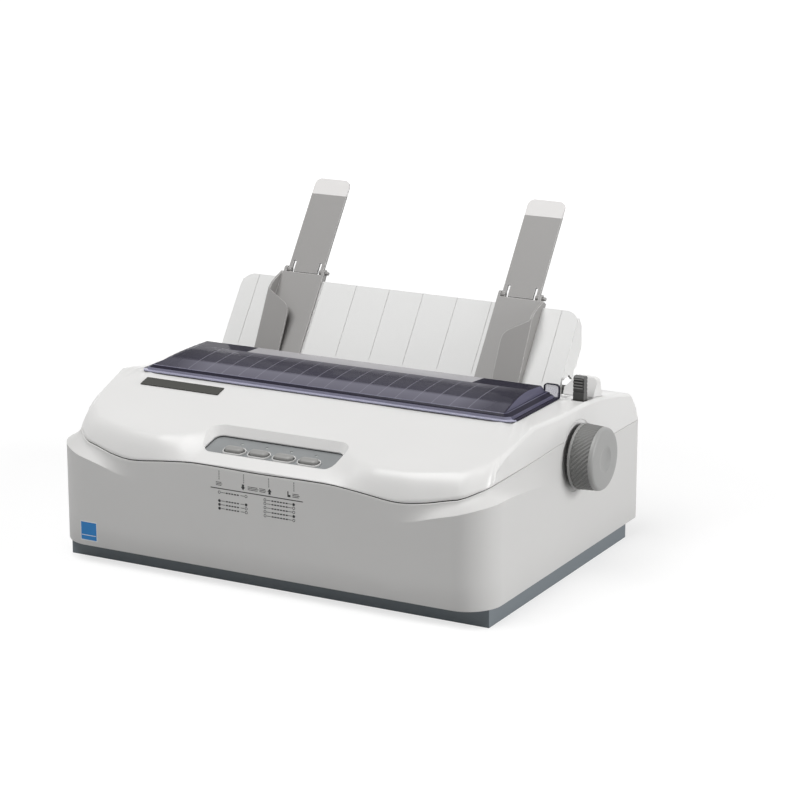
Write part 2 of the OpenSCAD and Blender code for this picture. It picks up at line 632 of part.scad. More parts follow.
// The support's pin, in the plate's own Y and Z
pin_dy = support_pin[0] - support_foot[0];
pin_dz = support_pin[1] - support_foot[1];
local_pin = [pin_dy * cos(support_lean) - pin_dz * sin(support_lean),
    pin_dy * sin(support_lean) + pin_dz * cos(support_lean)];
top_round = 12;
groove_pitch = 32.7;
support_half_w = opening_half_w - support_end_gap;
module paper_support() color(shell_grey) {
    on_support() {
        difference() {
            translate([0, support_t, 0]) rotate([90, 0, 0]) linear_extrude(support_t) union() {
                translate([-support_half_w, plate_low])
                    square([2 * support_half_w, support_len - plate_low - top_round]);
                translate([-support_half_w + top_round, 0])
                    square([2 * (support_half_w - top_round), support_len]);
                for (s = [-1, 1]) translate([s * (support_half_w - top_round), support_len - top_round])
                    circle(top_round);
            }
            for (i = [-4.5 : 1 : 4.5]) translate([i * groove_pitch - 0.4, -1, 4]) cube([0.8, 1.4, support_len]);
        }
        for (s = [0, 1]) mirror([s, 0, 0]) {
            across(support_half_w - 2.2, 2.2) polygon([
                [support_t - 1, support_len - 5], [support_t + 0.4 * cheek_depth, support_len - 8],
                [support_t + cheek_depth, 48], [support_t + cheek_depth, 29],
                [support_t + 0.88 * cheek_depth, 25], [support_t + cheek_depth, 21],
                [support_t + cheek_depth, 18], [support_t + 0.5 * cheek_depth, 18.5],
                [support_t + 2, 11], [support_t - 1, 11]]);
            // Ear down to the pivot pin
            across(support_half_w - 4, 4) union() {
                translate(local_pin) circle(5);
                polygon([[0, 4], [0, plate_low], [local_pin[0] - 4, local_pin[1] - 3],
                    [local_pin[0] + 4, local_pin[1] + 3], [support_t, 8], [support_t, 4]]);
            }
            bar_x(support_half_w - 1, opening_half_w + cheek_t - 1, local_pin[0], local_pin[1],
                support_pin_r);
        }
    }
}

// One paper guide, drawn for the right-hand side
guide_t = 2;
guide_top = support_len + 5;
mouth = 13.5;
throat = 6;
lap_w = 24.5;
lap_h = 42.5;
mouth_z = 54;
flap_pin_z = guide_top + 3;
flap_pin_y = 1;
flap_pin_r = 1.6;
guide_x1 = guide_x + guide_w;
flap_x = guide_x + 2.4;
ear_x1 = flap_x + flap_w + 2.7;
module paper_guide_solid() on_support() difference() {
    union() {
        // Back plate, the bar over the support's top edge and the hook behind it
        translate([guide_x, -guide_t - seat_gap, 0]) cube([guide_w, guide_t, guide_top]);
        translate([guide_x, -guide_t - seat_gap, support_len + seat_gap])
            cube([guide_w, guide_t + support_t + 3 * seat_gap + 1.8, guide_top - support_len - seat_gap]);
        translate([guide_x + 6, support_t + seat_gap, support_len - 7])
            cube([guide_w - 12, 1.8, 9]);
        // Outer side wall, wide at its mouth
        across(guide_x1 - 2, 2) polygon([
            [-seat_gap, 0], [-throat, 0], [-mouth, mouth_z], [-mouth + 1.8, mouth_z + 6.5],
            [-throat - 1, guide_top - 7.5], [-guide_t - seat_gap, guide_top - 1], [-seat_gap, guide_top - 1]]);
        // Front lap over the paper's edge
        intersection() {
            across(guide_x, guide_w) polygon([
                [-throat, 0], [-mouth, mouth_z], [-mouth + 1.7, mouth_z], [-throat + 1.7, 0]]);
            translate([0, 1, 0]) rotate([90, 0, 0]) linear_extrude(30) polygon([
                [guide_x1 - lap_w, 0], [guide_x1, 0], [guide_x1, mouth_z], [guide_x1 - lap_w + 4, lap_h],
                [guide_x1 - lap_w + 0.9, lap_h - 4], [guide_x1 - lap_w, lap_h - 8.5]]);
        }
        // Two ears for the extension flap's pins
        for (x = [guide_x, ear_x1 - 2.4]) across(x, x == guide_x ? 2.1 : 2.4) union() {
            translate([flap_pin_y, flap_pin_z]) circle(3.3);
            translate([flap_pin_y - 3.2, guide_top - 1]) square([6.4, flap_pin_z - guide_top + 1]);
        }
    }
    bar_x(guide_x - 1, guide_x1 + 1, flap_pin_y, flap_pin_z, flap_pin_r + run_gap);
}
module right_paper_guide() color(guide_grey) paper_guide_solid();
left_shift = 2.5;
module left_paper_guide() color(guide_grey)
    translate([left_shift, 0, 0]) mirror([1, 0, 0]) paper_guide_solid();

flap_t = 2;
flap_foot = flap_pin_z + 2;
arm_w_flap = 3.4;
slot_w = 2.4;
// The pins reach past the ears on one side only: in_end and out_end are how far
module extension_flap_solid(in_end, out_end) on_support() {
    difference() {
        translate([0, flap_pin_y + flap_t / 2, 0]) rotate([90, 0, 0]) linear_extrude(flap_t) union() {
            translate([flap_x, flap_foot]) square([flap_w, flap_len - 7]);
            translate([flap_x + 6, flap_foot]) square([flap_w - 12, flap_len - 1]);
            for (x = [flap_x + 6, flap_x + flap_w - 6]) translate([x, flap_foot + flap_len - 7]) circle(6);
            // Tongue between the two slots
            translate([flap_x + arm_w_flap + slot_w, flap_pin_z - 1.5])
                square([flap_w - 2 * (arm_w_flap + slot_w), 5]);
        }
        for (x = [flap_x + arm_w_flap, flap_x + flap_w - arm_w_flap - slot_w])
            translate([x, -5, flap_foot - 1]) cube([slot_w, 12, 8]);
    }
    // Side arms down to the pins
    for (x = [flap_x, flap_x + flap_w - arm_w_flap]) across(x, arm_w_flap) union() {
        translate([flap_pin_y, flap_pin_z]) circle(2.4);
        translate([flap_pin_y - flap_t / 2, flap_pin_z]) square([flap_t, 3]);
    }
    bar_x(guide_x - in_end, flap_x + 1, flap_pin_y, flap_pin_z, flap_pin_r);
    bar_x(flap_x + flap_w - 1, ear_x1 + out_end, flap_pin_y, flap_pin_z, flap_pin_r);
}
module right_extension_flap() color(guide_grey) extension_flap_solid(0, 3);
module left_extension_flap() color(guide_grey)
    translate([left_shift, 0, 0]) mirror([1, 0, 0]) extension_flap_solid(3, 0);

// ---- release lever and head gap lever ----

module release_lever() color(dark_grey) {
    difference() {
        across(lever_x, lever_w) polygon([
            [lever_pin[0] - 5, lever_pin[1] - 12], [lever_pin[0] + 5, lever_pin[1] - 12],
            [lever_pin[0] + 5, lever_pin[1] + 8], [lever_pin[0] + 3.5, lever_pin[1] + 30],
            [lever_pin[0] + 3.5, top_z + 18], [lever_pin[0] + 2, top_z + 19.5],
            [lever_pin[0] - 2, top_z + 19.5], [lever_pin[0] - 3.5, top_z + 18],
            [lever_pin[0] - 3.5, lever_pin[1] + 30], [lever_pin[0] - 5, lever_pin[1] + 8]]);
        // Grip grooves
        for (i = [0 : 3], s = [-1, 1])
            translate([lever_x - 1, lever_pin[0] + s * 3.5 - 0.6, top_z + 6 + 3.2 * i])
            cube([lever_w + 2, 1.2, 1.2]);
    }
    bar_x(lever_x - 8, lever_x + 1, lever_pin[0], lever_pin[1], lever_pin_r);
}

gap_pin = [-30, 90];
gap_pin_r = 3;
module head_gap_lever() color(dark_grey) {
    across(-frame_out - 5, 3) union() {
        translate(gap_pin) circle(6);
        polygon([gap_pin + [-4, 0], gap_pin + [4, 0], gap_pin + [2.5, 38], gap_pin + [-2.5, 38]]);
        translate(gap_pin + [0, 38]) circle(4);
    }
    bar_x(-frame_out - 3, -frame_half + 1, gap_pin[0], gap_pin[1], gap_pin_r);
}

// ---- gear train ----

platen_teeth = 48;
idler_teeth = 32;
pinion_teeth = 16;
tractor_teeth = 24;
gear_x = -frame_out - 8;
function gear_r(n) = n / 2;
function away(p, dir, dist) = p + dist * [cos(dir), sin(dir)];
idler_dir = -50;
pinion_dir = -120;
tractor_dir = 20;
platen_axis = [platen_y, platen_z];
idler_axis = away(platen_axis, idler_dir, gear_r(platen_teeth + idler_teeth));
pinion_axis = away(idler_axis, pinion_dir, gear_r(idler_teeth + pinion_teeth));
tractor_axis = away(idler_axis, tractor_dir, gear_r(idler_teeth + tractor_teeth));
// Turn that brings gear B, in direction dir from gear A, into mesh
function mesh_turn(dir, turn_a, teeth_a, teeth_b) =
    let (pitch = 360 / teeth_a, d = dir - turn_a, over = d - pitch * floor(d / pitch))
    dir + 180 + over * teeth_a / teeth_b + 180 / teeth_b;
idler_turn = mesh_turn(idler_dir, 0, platen_teeth, idler_teeth);
tooth = [[-0.29, -1.25], [-0.11, 0.85], [0.11, 0.85], [0.29, -1.25]];
module gear(axis, teeth, turn, bore) across(gear_x, gear_w) translate(axis) difference() {
    polygon([for (i = [0 : teeth - 1], c = tooth)
        let (r = gear_r(teeth) + c[1], a = turn + (i + c[0]) * 360 / teeth) r * [cos(a), sin(a)]]);
    circle(bore);
}

module platen_gear() color(guide_grey) difference() {
    gear(platen_axis, platen_teeth, 0, shaft_r + run_gap);
    for (a = [0 : 60 : 300]) let (p = away(platen_axis, a, 13))
        bar_x(gear_x - 1, gear_x + gear_w + 1, p[0], p[1], 4);
}
stud_r = 3;
module idler_gear() color(guide_grey) gear(idler_axis, idler_teeth, idler_turn, stud_r + run_gap);
module idler_stud() color(steel) {
    bar_x(-frame_half + 0.1, -frame_half + 1.4, idler_axis[0], idler_axis[1], stud_r + 2);
    bar_x(gear_x - 0.4, -frame_half + 1, idler_axis[0], idler_axis[1], stud_r);
    bar_x(gear_x + gear_w + 0.2, -frame_out - 0.1, idler_axis[0], idler_axis[1], stud_r + 2);
    bar_x(gear_x - 1.6, gear_x - 0.2, idler_axis[0], idler_axis[1], stud_r + 1.6);
}
motor_shaft_r = 2;
module feed_pinion() color(guide_grey) {
    gear(pinion_axis, pinion_teeth, mesh_turn(pinion_dir, idler_turn, idler_teeth, pinion_teeth),
        motor_shaft_r - 0.5);
    bar_x(gear_x - 1, -frame_half + 8, pinion_axis[0], pinion_axis[1], motor_shaft_r);
}
feed_motor_r = 18;
feed_motor_len = 23;
motor_boss_r = 5;
motor_ear = 24;
module feed_motor() color(black) difference() {
    union() {
        bar_x(-frame_half, -frame_half + feed_motor_len, pinion_axis[0], pinion_axis[1], feed_motor_r);
        bar_x(-frame_out, -frame_half + 1, pinion_axis[0], pinion_axis[1], motor_boss_r);
        translate([-frame_half, pinion_axis[0] - motor_ear, pinion_axis[1] - 5])
            cube([1.5, 2 * motor_ear, 10]);
    }
    bar_x(-frame_out - 1, -frame_half + 10, pinion_axis[0], pinion_axis[1], motor_shaft_r + run_gap);
}

// ---- chassis ----

frame_front = -72;
frame_rear = 96;
pin_x = frame_half - pulley_inset;
pulley_y = -44;
pulley_pin_r = 2.5;
belt_z = 66;
belt_h = 6;
belt_t = 1.4;
window_pitch = 0.54 * frame_half;
module chassis_plate() color(steel) {
    difference() {
        translate([-frame_out, frame_front - 3, chassis_z])
            cube([2 * frame_out, frame_rear - frame_front + 5, chassis_t]);
        for (i = [-1 : 1]) translate([i * window_pitch, (frame_front + frame_rear) / 2 + 8, chassis_z - 1])
            round_plate(window_pitch - 30, 70, chassis_t + 2, 8);
    }
    // Post and pin of the idler pulley
    translate([pin_x, pulley_y, frame_z - 1]) cylinder(r = 6, h = belt_z - 3 - frame_z);
    translate([pin_x, pulley_y, belt_z - 5]) cylinder(r = pulley_pin_r, h = belt_h + 6);
}

rod_at = [-24, 80];
rail_at = [-58, 80];
rail_r = 3;
nip_dir = -100;
nip_r = 6;
nip_shaft_r = 2.5;
nip_axis = away(platen_axis, nip_dir, platen_r + nip_r + 0.3);
bush_r = 7;
tractor_shaft_r = 3;
tractor_rail_r = 3;
tractor_rail_at = tractor_axis + [20, 4];
shelf_z = platen_z - 4;
frame_top = platen_z + 22;
module frame_sheet(left) difference() {
    polygon([[frame_front, frame_z], [frame_rear, frame_z], [frame_rear, frame_top - 24],
        [frame_rear - 36, frame_top], [-20, frame_top], [frame_front, shelf_z]]);
    translate(platen_axis) circle(bush_r + run_gap);
    translate(rod_at) circle(rod_r + run_gap);
    translate(rail_at) circle(rail_r + run_gap);
    translate(nip_axis) circle(nip_shaft_r + run_gap);
    translate(tractor_axis) circle(tractor_shaft_r + run_gap);
    translate(tractor_rail_at) circle(tractor_rail_r + run_gap);
    translate([-26, 50]) circle(14);
    if (left) {
        translate(idler_axis) circle(stud_r + run_gap);
        translate(pinion_axis) circle(motor_boss_r + run_gap);
        translate(gap_pin) circle(gap_pin_r + run_gap);
    }
}
lug_w = 9;
module side_frame_solid(left) {
    across(frame_half, frame_t) frame_sheet(left);
    // Feet on the chassis plate and shelf under the ribbon cartridge
    for (y = [frame_front + 1, frame_rear - 20]) translate([frame_half - lug_w, y, frame_z])
        cube([lug_w + 1, 13, frame_t]);
    translate([frame_half - lug_w, -58, shelf_z - frame_t]) cube([lug_w + 1, 18, frame_t]);
}
module right_side_frame() color(steel) side_frame_solid(false);
module left_side_frame() color(steel) mirror([1, 0, 0]) side_frame_solid(true);

module platen_bushes() color([0.80, 0.65, 0.35]) for (s = [0, 1]) mirror([s, 0, 0]) difference() {
    union() {
        bar_x(frame_half - 2, frame_out + 1.5, platen_y, platen_z, bush_r);
        bar_x(frame_half - 2, frame_half - 0.1, platen_y, platen_z, bush_r + 2);
    }
    bar_x(frame_half - 3, frame_out + 3, platen_y, platen_z, shaft_r + run_gap);
}
module platen_roller() color(black) difference() {
    bar_x(-platen_half, platen_half, platen_y, platen_z, platen_r);
    bar_x(-platen_half - 1, platen_half + 1, platen_y, platen_z, shaft_r + run_gap);
}
module platen_shaft() color(steel)
    bar_x(gear_x - 1.5, half_w + knob_out - 6, platen_y, platen_z, shaft_r);

knob_gap = 0.8;
module platen_knob() color(guide_grey) difference() {
    union() {
        intersection() {
            across(half_w + knob_gap, knob_out - knob_gap) translate(platen_axis) polygon([
                for (i = [0 : knob_ribs - 1], c = [[0, 0], [0.5, 0], [0.62, -1], [0.88, -1]])
                let (a = (i + c[0]) * 360 / knob_ribs) (knob_r + c[1]) * [cos(a), sin(a)]]);
            translate([half_w, platen_y, platen_z]) rotate([0, 90, 0]) rotate_extrude() polygon([
                [0, 0], [knob_r - 1, 0], [knob_r - 1, knob_gap], [knob_r + 1, knob_gap + 2],
                [knob_r + 1, knob_out - 4], [knob_r - 2, knob_out - 1.2], [knob_r - 5, knob_out], [0, knob_out]]);
        }
        bar_x(half_w - 14, half_w + knob_gap + 1, platen_y, platen_z, sleeve_r);
    }
    bar_x(half_w - 15, half_w + knob_out - 5.9, platen_y, platen_z, shaft_r + run_gap);
    // Finger dimple
    translate([half_w + knob_out + 12.5, platen_y, platen_z]) sphere(r = 15.4);
}

// ---- tractors and paper path ----

module tractor_shaft() color(steel)
    bar_x(gear_x - 1, frame_out + 2, tractor_axis[0], tractor_axis[1], tractor_shaft_r);
module tractor_gear() color(guide_grey) gear(tractor_axis, tractor_teeth,
    mesh_turn(tractor_dir, idler_turn, idler_teeth, tractor_teeth), tractor_shaft_r + run_gap);
tractor_x = frame_half - 33;
sprocket_r = 9;
module tractor_sprockets() color(guide_grey) for (s = [-1, 1]) translate([s * tractor_x, 0, 0])
    difference() {
        union() {
            bar_x(-4, 4, tractor_axis[0], tractor_axis[1], sprocket_r);
            for (a = [0 : 45 : 315]) translate([0, tractor_axis[0], tractor_axis[1]]) rotate([a, 0, 0])
                translate([0, 0, sprocket_r - 2]) cylinder(r = 1.7, h = 5);
        }
        bar_x(-5, 5, tractor_axis[0], tractor_axis[1], tractor_shaft_r + run_gap);
    }
module tractor_rail() color(steel)
    bar_x(-frame_out - 1, frame_out + 1, tractor_rail_at[0], tractor_rail_at[1], tractor_rail_r);
module tractor_solid() translate([tractor_x, 0, 0]) difference() {
    union() {
        for (x = [-7.5, 4.5]) across(x, 3) union() {
            translate(tractor_axis) circle(12);
            translate(tractor_rail_at) circle(7);
            polygon([tractor_axis + [-12, 0], tractor_axis + [-12, 16], tractor_axis + [25, 16],
                tractor_rail_at + [7, 0], tractor_rail_at + [2, -7], tractor_axis + [3, -12]]);
        }
        bar_x(-5, 5, tractor_rail_at[0], tractor_rail_at[1], 6.5);
        // Lid over the pins
        translate([-7.5, tractor_axis[0] - 12, tractor_axis[1] + 14]) cube([15, 37, 2]);
    }
    bar_x(-9, 9, tractor_axis[0], tractor_axis[1], tractor_shaft_r + run_gap);
    bar_x(-9, 9, tractor_rail_at[0], tractor_rail_at[1], tractor_rail_r + run_gap);
}
module right_tractor() color(dark_grey) tractor_solid();
module left_tractor() color(dark_grey) mirror([1, 0, 0]) tractor_solid();

nip_len = 30;
nip_xs = [for (i = [-1.5 : 1 : 1.5]) i * (platen_half / 2 - 1.5)];
module pressure_rollers() color(black) {
    bar_x(-frame_half - 1.5, frame_half + 1.5, nip_axis[0], nip_axis[1], nip_shaft_r);
    for (x = nip_xs) bar_x(x - nip_len / 2, x + nip_len / 2, nip_axis[0], nip_axis[1], nip_r);
}
pan_in = platen_r + 1.5;
pan_t = 1.5;
module paper_pan() color(steel) difference() {
    across(-frame_half + seat_gap, 2 * (frame_half - seat_gap)) difference() {
        translate(platen_axis) circle(pan_in + pan_t);
        translate(platen_axis) circle(pan_in);
        translate(platen_axis) polygon([[0, 0], 60 * [cos(-20), sin(-20)], [60, 60], [-60, 60],
            60 * [cos(-140), sin(-140)]]);
    }
    for (x = nip_xs) bar_x(x - nip_len / 2 - 1.5, x + nip_len / 2 + 1.5, nip_axis[0], nip_axis[1], nip_r + 1);
}
guide_foot = [34.5, 116.5];
guide_lean = 50;
guide_len = 30;
rib_pitch = 16.5;
rib_half = floor((frame_half - 12) / rib_pitch);
module paper_guide() color([0.75, 0.75, 0.80]) translate([0, guide_foot[0], guide_foot[1]])
    rotate([guide_lean, 0, 0]) {
        translate([-frame_half + seat_gap, 0, -2]) cube([2 * (frame_half - seat_gap), guide_len, 2]);
        for (i = [-rib_half : rib_half]) translate([i * rib_pitch - 0.6, 0, -0.5]) cube([1.2, guide_len, 2]);
    }

// ---- print head carriage ----

module carriage_rod() color(steel)
    bar_x(-frame_out - 1, frame_out + 1, rod_at[0], rod_at[1], rod_r);
module front_rail() color(steel)
    bar_x(-frame_out - 1, frame_out + 1, rail_at[0], rail_at[1], rail_r);
carriage_half = 22;
carriage_low = 74;
carriage_top = 92;
belt_mid = pulley_y + pulley_r + belt_t / 2;
clamp_gap = 0.3;
module head_carriage() color(dark_grey) difference() {
    union() {
        translate([-carriage_half, -64, carriage_low])
            cube([2 * carriage_half, 50, carriage_top - carriage_low]);
        for (y = [belt_mid - belt_t / 2 - clamp_gap - 3, belt_mid + belt_t / 2 + clamp_gap])
            translate([-8, y, belt_z]) cube([16, 3, carriage_low - belt_z + 1]);
    }
    bar_x(-carriage_half - 1, carriage_half + 1, rod_at[0], rod_at[1], rod_r + run_gap);
    // Slot that rides on the front rail
    translate([-carriage_half - 1, -65, rail_at[1] - rail_r - run_gap])
        cube([2 * carriage_half + 2, rail_at[0] + 65 + rail_r + run_gap, 2 * (rail_r + run_gap)]);
}
module print_head() color(steel) {
    translate([-16, -34, carriage_top]) cube([32, 14, 20]);
    for (i = [0 : 4]) translate([-16, -20.5 + 3 * i, carriage_top]) cube([32, 1.4, 20]);
    translate([-11, -21, carriage_top]) cube([22, 13, 18]);
    translate([0, -0.7, platen_z]) rotate([90, 0, 0]) cylinder(r1 = 4, r2 = 6, h = 8);
}
module pulley(z_gap) {
    translate([0, 0, belt_z - 0.5]) cylinder(r = pulley_r - 0.05, h = belt_h + 1);
    for (z = [belt_z - 1.5, belt_z + belt_h + 0.2]) translate([0, 0, z]) cylinder(r = pulley_r + 1, h = 1);
}
module drive_pulley() color(steel) translate([-pin_x, pulley_y, 0]) {
    pulley();
    translate([0, 0, frame_z + 32]) cylinder(r = pulley_pin_r, h = belt_z - frame_z - 32);
}
module idler_pulley() color(steel) translate([pin_x, pulley_y, 0]) difference() {
    pulley();
    translate([0, 0, belt_z - 3]) cylinder(r = pulley_pin_r + run_gap, h = belt_h + 6);
}
carriage_motor_h = belt_z - 4 - frame_z;
module carriage_motor() color(black) translate([-pin_x, pulley_y, frame_z]) difference() {
    union() {
        cylinder(r = 21, h = carriage_motor_h);
        translate([0, 0, carriage_motor_h - 0.1]) cylinder(r = 7, h = 1.6);
    }
    translate([0, 0, 30]) cylinder(r = pulley_pin_r + run_gap, h = carriage_motor_h);
}
module carriage_belt() color(black) translate([0, pulley_y, belt_z]) linear_extrude(belt_h) difference() {
    oval(2 * (pin_x + pulley_r + belt_t), 2 * (pulley_r + belt_t));
    oval(2 * (pin_x + pulley_r), 2 * pulley_r);
}

// ---- ribbon ----

cartridge_half = frame_half - 0.3;
cartridge_front = -78;
cartridge_d = 42;
cartridge_h = 16;
arm_w = 9.7;
arm_x = cartridge_half - arm_w;
bay_half = arm_x - 14;
ribbon_knob_at = [4 - bay_half, -47];
module ribbon_cartridge() color(dark_grey) difference() {
    union() {
        translate([-cartridge_half, cartridge_front, shelf_z])
            cube([2 * cartridge_half, cartridge_d, cartridge_h]);
        for (s = [0, 1]) mirror([s, 0, 0])
            translate([arm_x, cartridge_front + cartridge_d - 1, shelf_z - 4])
            cube([arm_w, 39, cartridge_h]);
        // Raised lid
        translate([-60, cartridge_front + 4, shelf_z + cartridge_h - 1]) cube([120, cartridge_d - 8, 2.5]);
    }
    translate([ribbon_knob_at[0], ribbon_knob_at[1], shelf_z + 4])
        cylinder(r = stud_r + run_gap, h = 20);
    // Bay for the carriage and the print head
    translate([-bay_half, pulley_y, shelf_z - 1]) cube([2 * bay_half, 9, cartridge_h + 14]);
}
module ink_ribbon() color(black)
    translate([-arm_x, -0.4, shelf_z - 2.5]) cube([2 * arm_x, 0.4, 13]);
module ribbon_knob() color(guide_grey) translate([ribbon_knob_at[0], ribbon_knob_at[1], 0]) {
    translate([0, 0, shelf_z + 5]) cylinder(r = stud_r, h = 12);
    translate([0, 0, shelf_z + 16.2]) difference() {
        cylinder(r = 8, h = 8);
        for (a = [0 : 45 : 315]) rotate([0, 0, a]) translate([8.4, 0, -1]) cylinder(r = 1.2, h = 10, $fn = 16);
    }
}

// ---- electrics ----

// The board and the power supply stand in the room on either side of the frames
rim_half_w = pan_half_w - flange_w;
board_x = (frame_out + rim_half_w) / 2 + 4;
module main_board() color([0.10, 0.35, 0.20]) {
    translate([board_x, -60, pan_wall]) cube([1.6, 140, 87]);
    for (y = [-45 : 30 : 45]) translate([board_x - 4, y, 40]) cube([4.1, 18, 36]);
    translate([board_x - 12, -40, 14]) cube([12.1, 80, 14]);
    for (y = [-50, 56]) translate([board_x - 10, y, 8]) cube([10.1, 12, 12]);
}
supply_x0 = 0.5 - rim_half_w;
supply_x1 = gear_x - 5;
module power_supply() color(steel) difference() {
    translate([supply_x0, -60, pan_wall]) cube([supply_x1 - supply_x0, 120, 77]);
    for (i = [0 : 8]) translate([supply_x1 - 2, -50 + 12 * i, 20]) cube([4, 5, 50]);
}
module power_inlet() color(black) difference() {
    union() {
        translate([inlet_x - 14, half_d - 22, inlet_z - 10]) cube([28, 22, 20]);
        translate([switch_x - 10, half_d - 14, inlet_z - 7]) cube([20, 14, 14]);
        translate([inlet_x - 16, half_d - wall - 3, inlet_z - 12]) cube([switch_x - inlet_x + 28, 2.8, 24]);
    }
    translate([inlet_x - 12, half_d - 16, inlet_z - 8]) cube([24, 20, 16]);
    translate([switch_x - 8.4, half_d - 11, inlet_z - 5.4]) cube([16.8, 20, 10.8]);
    translate([switch_x, half_d - 4, inlet_z - 6.6]) cylinder(r = 1.5 + run_gap, h = 13.2);
}
// Rocker, drawn with its left end pressed in
module power_switch() color(dark_grey) translate([switch_x, half_d - 4, inlet_z]) {
    rotate([0, 0, 9]) translate([0, 0, -5.1]) linear_extrude(10.2)
        polygon([[-7.6, -1], [0, -2.6], [7.6, -1], [7.6, 2.4], [0, 1.2], [-7.6, 2.4]]);
    translate([0, 0, -6.5]) cylinder(r = 1.5, h = 13);
}
module data_ports() color(dark_grey) {
    difference() {
        union() {
            translate([port_x - 26, half_d - 12, port_z - 7]) cube([52, 12, 14]);
            translate([usb_x - 6.5, half_d - 12, port_z - 6]) cube([13, 12, 12]);
            translate([port_x - 28, half_d - wall - 2.2, port_z - 9]) cube([usb_x - port_x + 37, 2, 18]);
        }
        translate([port_x - 23, half_d - 7, port_z - 4.5]) cube([46, 9, 9]);
        translate([usb_x - 4.5, half_d - 9, port_z - 4]) cube([9, 12, 8]);
    }
    translate([port_x - 20, half_d - 8, port_z - 1.5]) cube([40, 6, 3]);
    translate([usb_x - 2.5, half_d - 10, port_z - 2]) cube([5, 7, 4]);
}
module casing_screws() color(steel) for (p = screw_places) translate([p[0], p[1], 0]) {
    translate([0, 0, base_h - 8]) cylinder(r = 1.8, h = wall + 8.1);
    translate([0, 0, base_h + wall]) cylinder(r = 3.6, h = 2.2);
}

base_pan();
rubber_feet();
chassis_plate();
lower_casing();
upper_casing();
lever_guard();
badge_plate();
control_panel();
panel_lamps();
panel_board();
pause_button();
feed_button();
load_button();
tear_button();
smoked_cover();
paper_support();
left_paper_guide();
right_paper_guide();
left_extension_flap();
right_extension_flap();
release_lever();
head_gap_lever();
left_side_frame();
right_side_frame();
platen_bushes();
platen_roller();
platen_shaft();
platen_gear();
platen_knob();
idler_gear();
idler_stud();
feed_pinion();
feed_motor();
tractor_shaft();
tractor_gear();
tractor_sprockets();
tractor_rail();
left_tractor();
right_tractor();
pressure_rollers();
paper_pan();
paper_guide();
carriage_rod();
front_rail();
head_carriage();
print_head();
carriage_belt();
drive_pulley();
idler_pulley();
carriage_motor();
ribbon_cartridge();
ink_ribbon();
ribbon_knob();
main_board();
power_supply();
power_inlet();
power_switch();
data_ports();
casing_screws();
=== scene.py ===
import math

import bmesh
import bpy
import numpy as np
from mathutils import Matrix, Vector


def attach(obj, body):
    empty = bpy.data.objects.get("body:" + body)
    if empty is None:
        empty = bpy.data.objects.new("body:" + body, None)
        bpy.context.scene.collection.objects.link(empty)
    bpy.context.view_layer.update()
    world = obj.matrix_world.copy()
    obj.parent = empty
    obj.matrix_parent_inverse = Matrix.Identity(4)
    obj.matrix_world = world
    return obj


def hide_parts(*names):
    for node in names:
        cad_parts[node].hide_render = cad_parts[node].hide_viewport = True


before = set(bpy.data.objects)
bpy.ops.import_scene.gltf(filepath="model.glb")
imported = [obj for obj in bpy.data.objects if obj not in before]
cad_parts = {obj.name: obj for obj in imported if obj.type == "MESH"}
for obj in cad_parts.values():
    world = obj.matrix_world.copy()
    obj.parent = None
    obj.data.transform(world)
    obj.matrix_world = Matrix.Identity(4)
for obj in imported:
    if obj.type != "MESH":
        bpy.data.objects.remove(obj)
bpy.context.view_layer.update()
MM = 0.001

# --------------------------------------------------
# Base pan and feet
# The printer stands on a shallow pan moulded in blue-grey plastic with a fine spark-eroded
# texture. Four rubber discs are pressed into recesses in its underside.
# --------------------------------------------------


def added(tree, *kinds):
    """New shader nodes of these kinds, in that order."""
    return [tree.nodes.new("ShaderNode" + kind) for kind in kinds]


def wired(tree, *pairs):
    """Joins the first of each pair, an output, to the second, an input."""
    for output, socket in pairs:
        tree.links.new(output, socket)


def new_finish(name):
    """An empty material with one Principled shader, ready for its texture."""
    finish = bpy.data.materials.new(name)
    finish.use_nodes = True
    tree = finish.node_tree
    tree.nodes.clear()
    skin, out = added(tree, "BsdfPrincipled", "OutputMaterial")
    wired(tree, (skin.outputs["BSDF"], out.inputs["Surface"]))
    return finish, tree, skin


def noise(tree, scale, detail=2.0, stretch=(1, 1, 1)):
    """A noise pattern fixed to the piece, with its lumps 1 / scale metres apart."""
    place, shape, lumps = added(tree, "TexCoord", "Mapping", "TexNoise")
    shape.inputs["Scale"].default_value = stretch
    lumps.inputs["Scale"].default_value = scale
    lumps.inputs["Detail"].default_value = detail
    wired(tree, (place.outputs["Object"], shape.inputs["Vector"]),
          (shape.outputs["Vector"], lumps.inputs["Vector"]))
    return lumps


def tinted(tree, skin, lumps, colour, spread):
    """Lets the colour drift by a few per cent over the piece."""
    ramp, = added(tree, "ValToRGB")
    for stop, at, way in zip(ramp.color_ramp.elements, (0.3, 0.7), (-1, 1)):
        stop.position = at
        stop.color = [min(1, c * (1 + way * spread)) for c in colour] + [1]
    wired(tree, (lumps.outputs["Fac"], ramp.inputs["Fac"]), (ramp.outputs["Color"], skin.inputs["Base Color"]))


def grained(tree, skin, lumps, depth, strength, edge):
    """Surface texture, over edges broken by a small radius."""
    round_over, bump = added(tree, "Bevel", "Bump")
    round_over.samples = 4
    round_over.inputs["Radius"].default_value = edge
    bump.inputs["Strength"].default_value = strength
    bump.inputs["Distance"].default_value = depth
    wired(tree, (round_over.outputs["Normal"], bump.inputs["Normal"]),
          (lumps.outputs["Fac"], bump.inputs["Height"]), (bump.outputs["Normal"], skin.inputs["Normal"]))


def moulded(name, colour, rough=0.45, grain=900, strength=0.12, spread=0.02, edge=0.5):
    """Injection-moulded plastic: a faint drift of colour and the mould's fine texture."""
    finish, tree, skin = new_finish(name)
    skin.inputs["Roughness"].default_value = rough
    tinted(tree, skin, noise(tree, 14), colour, spread)
    grained(tree, skin, noise(tree, grain), 0.0001, strength, edge * MM)
    return finish


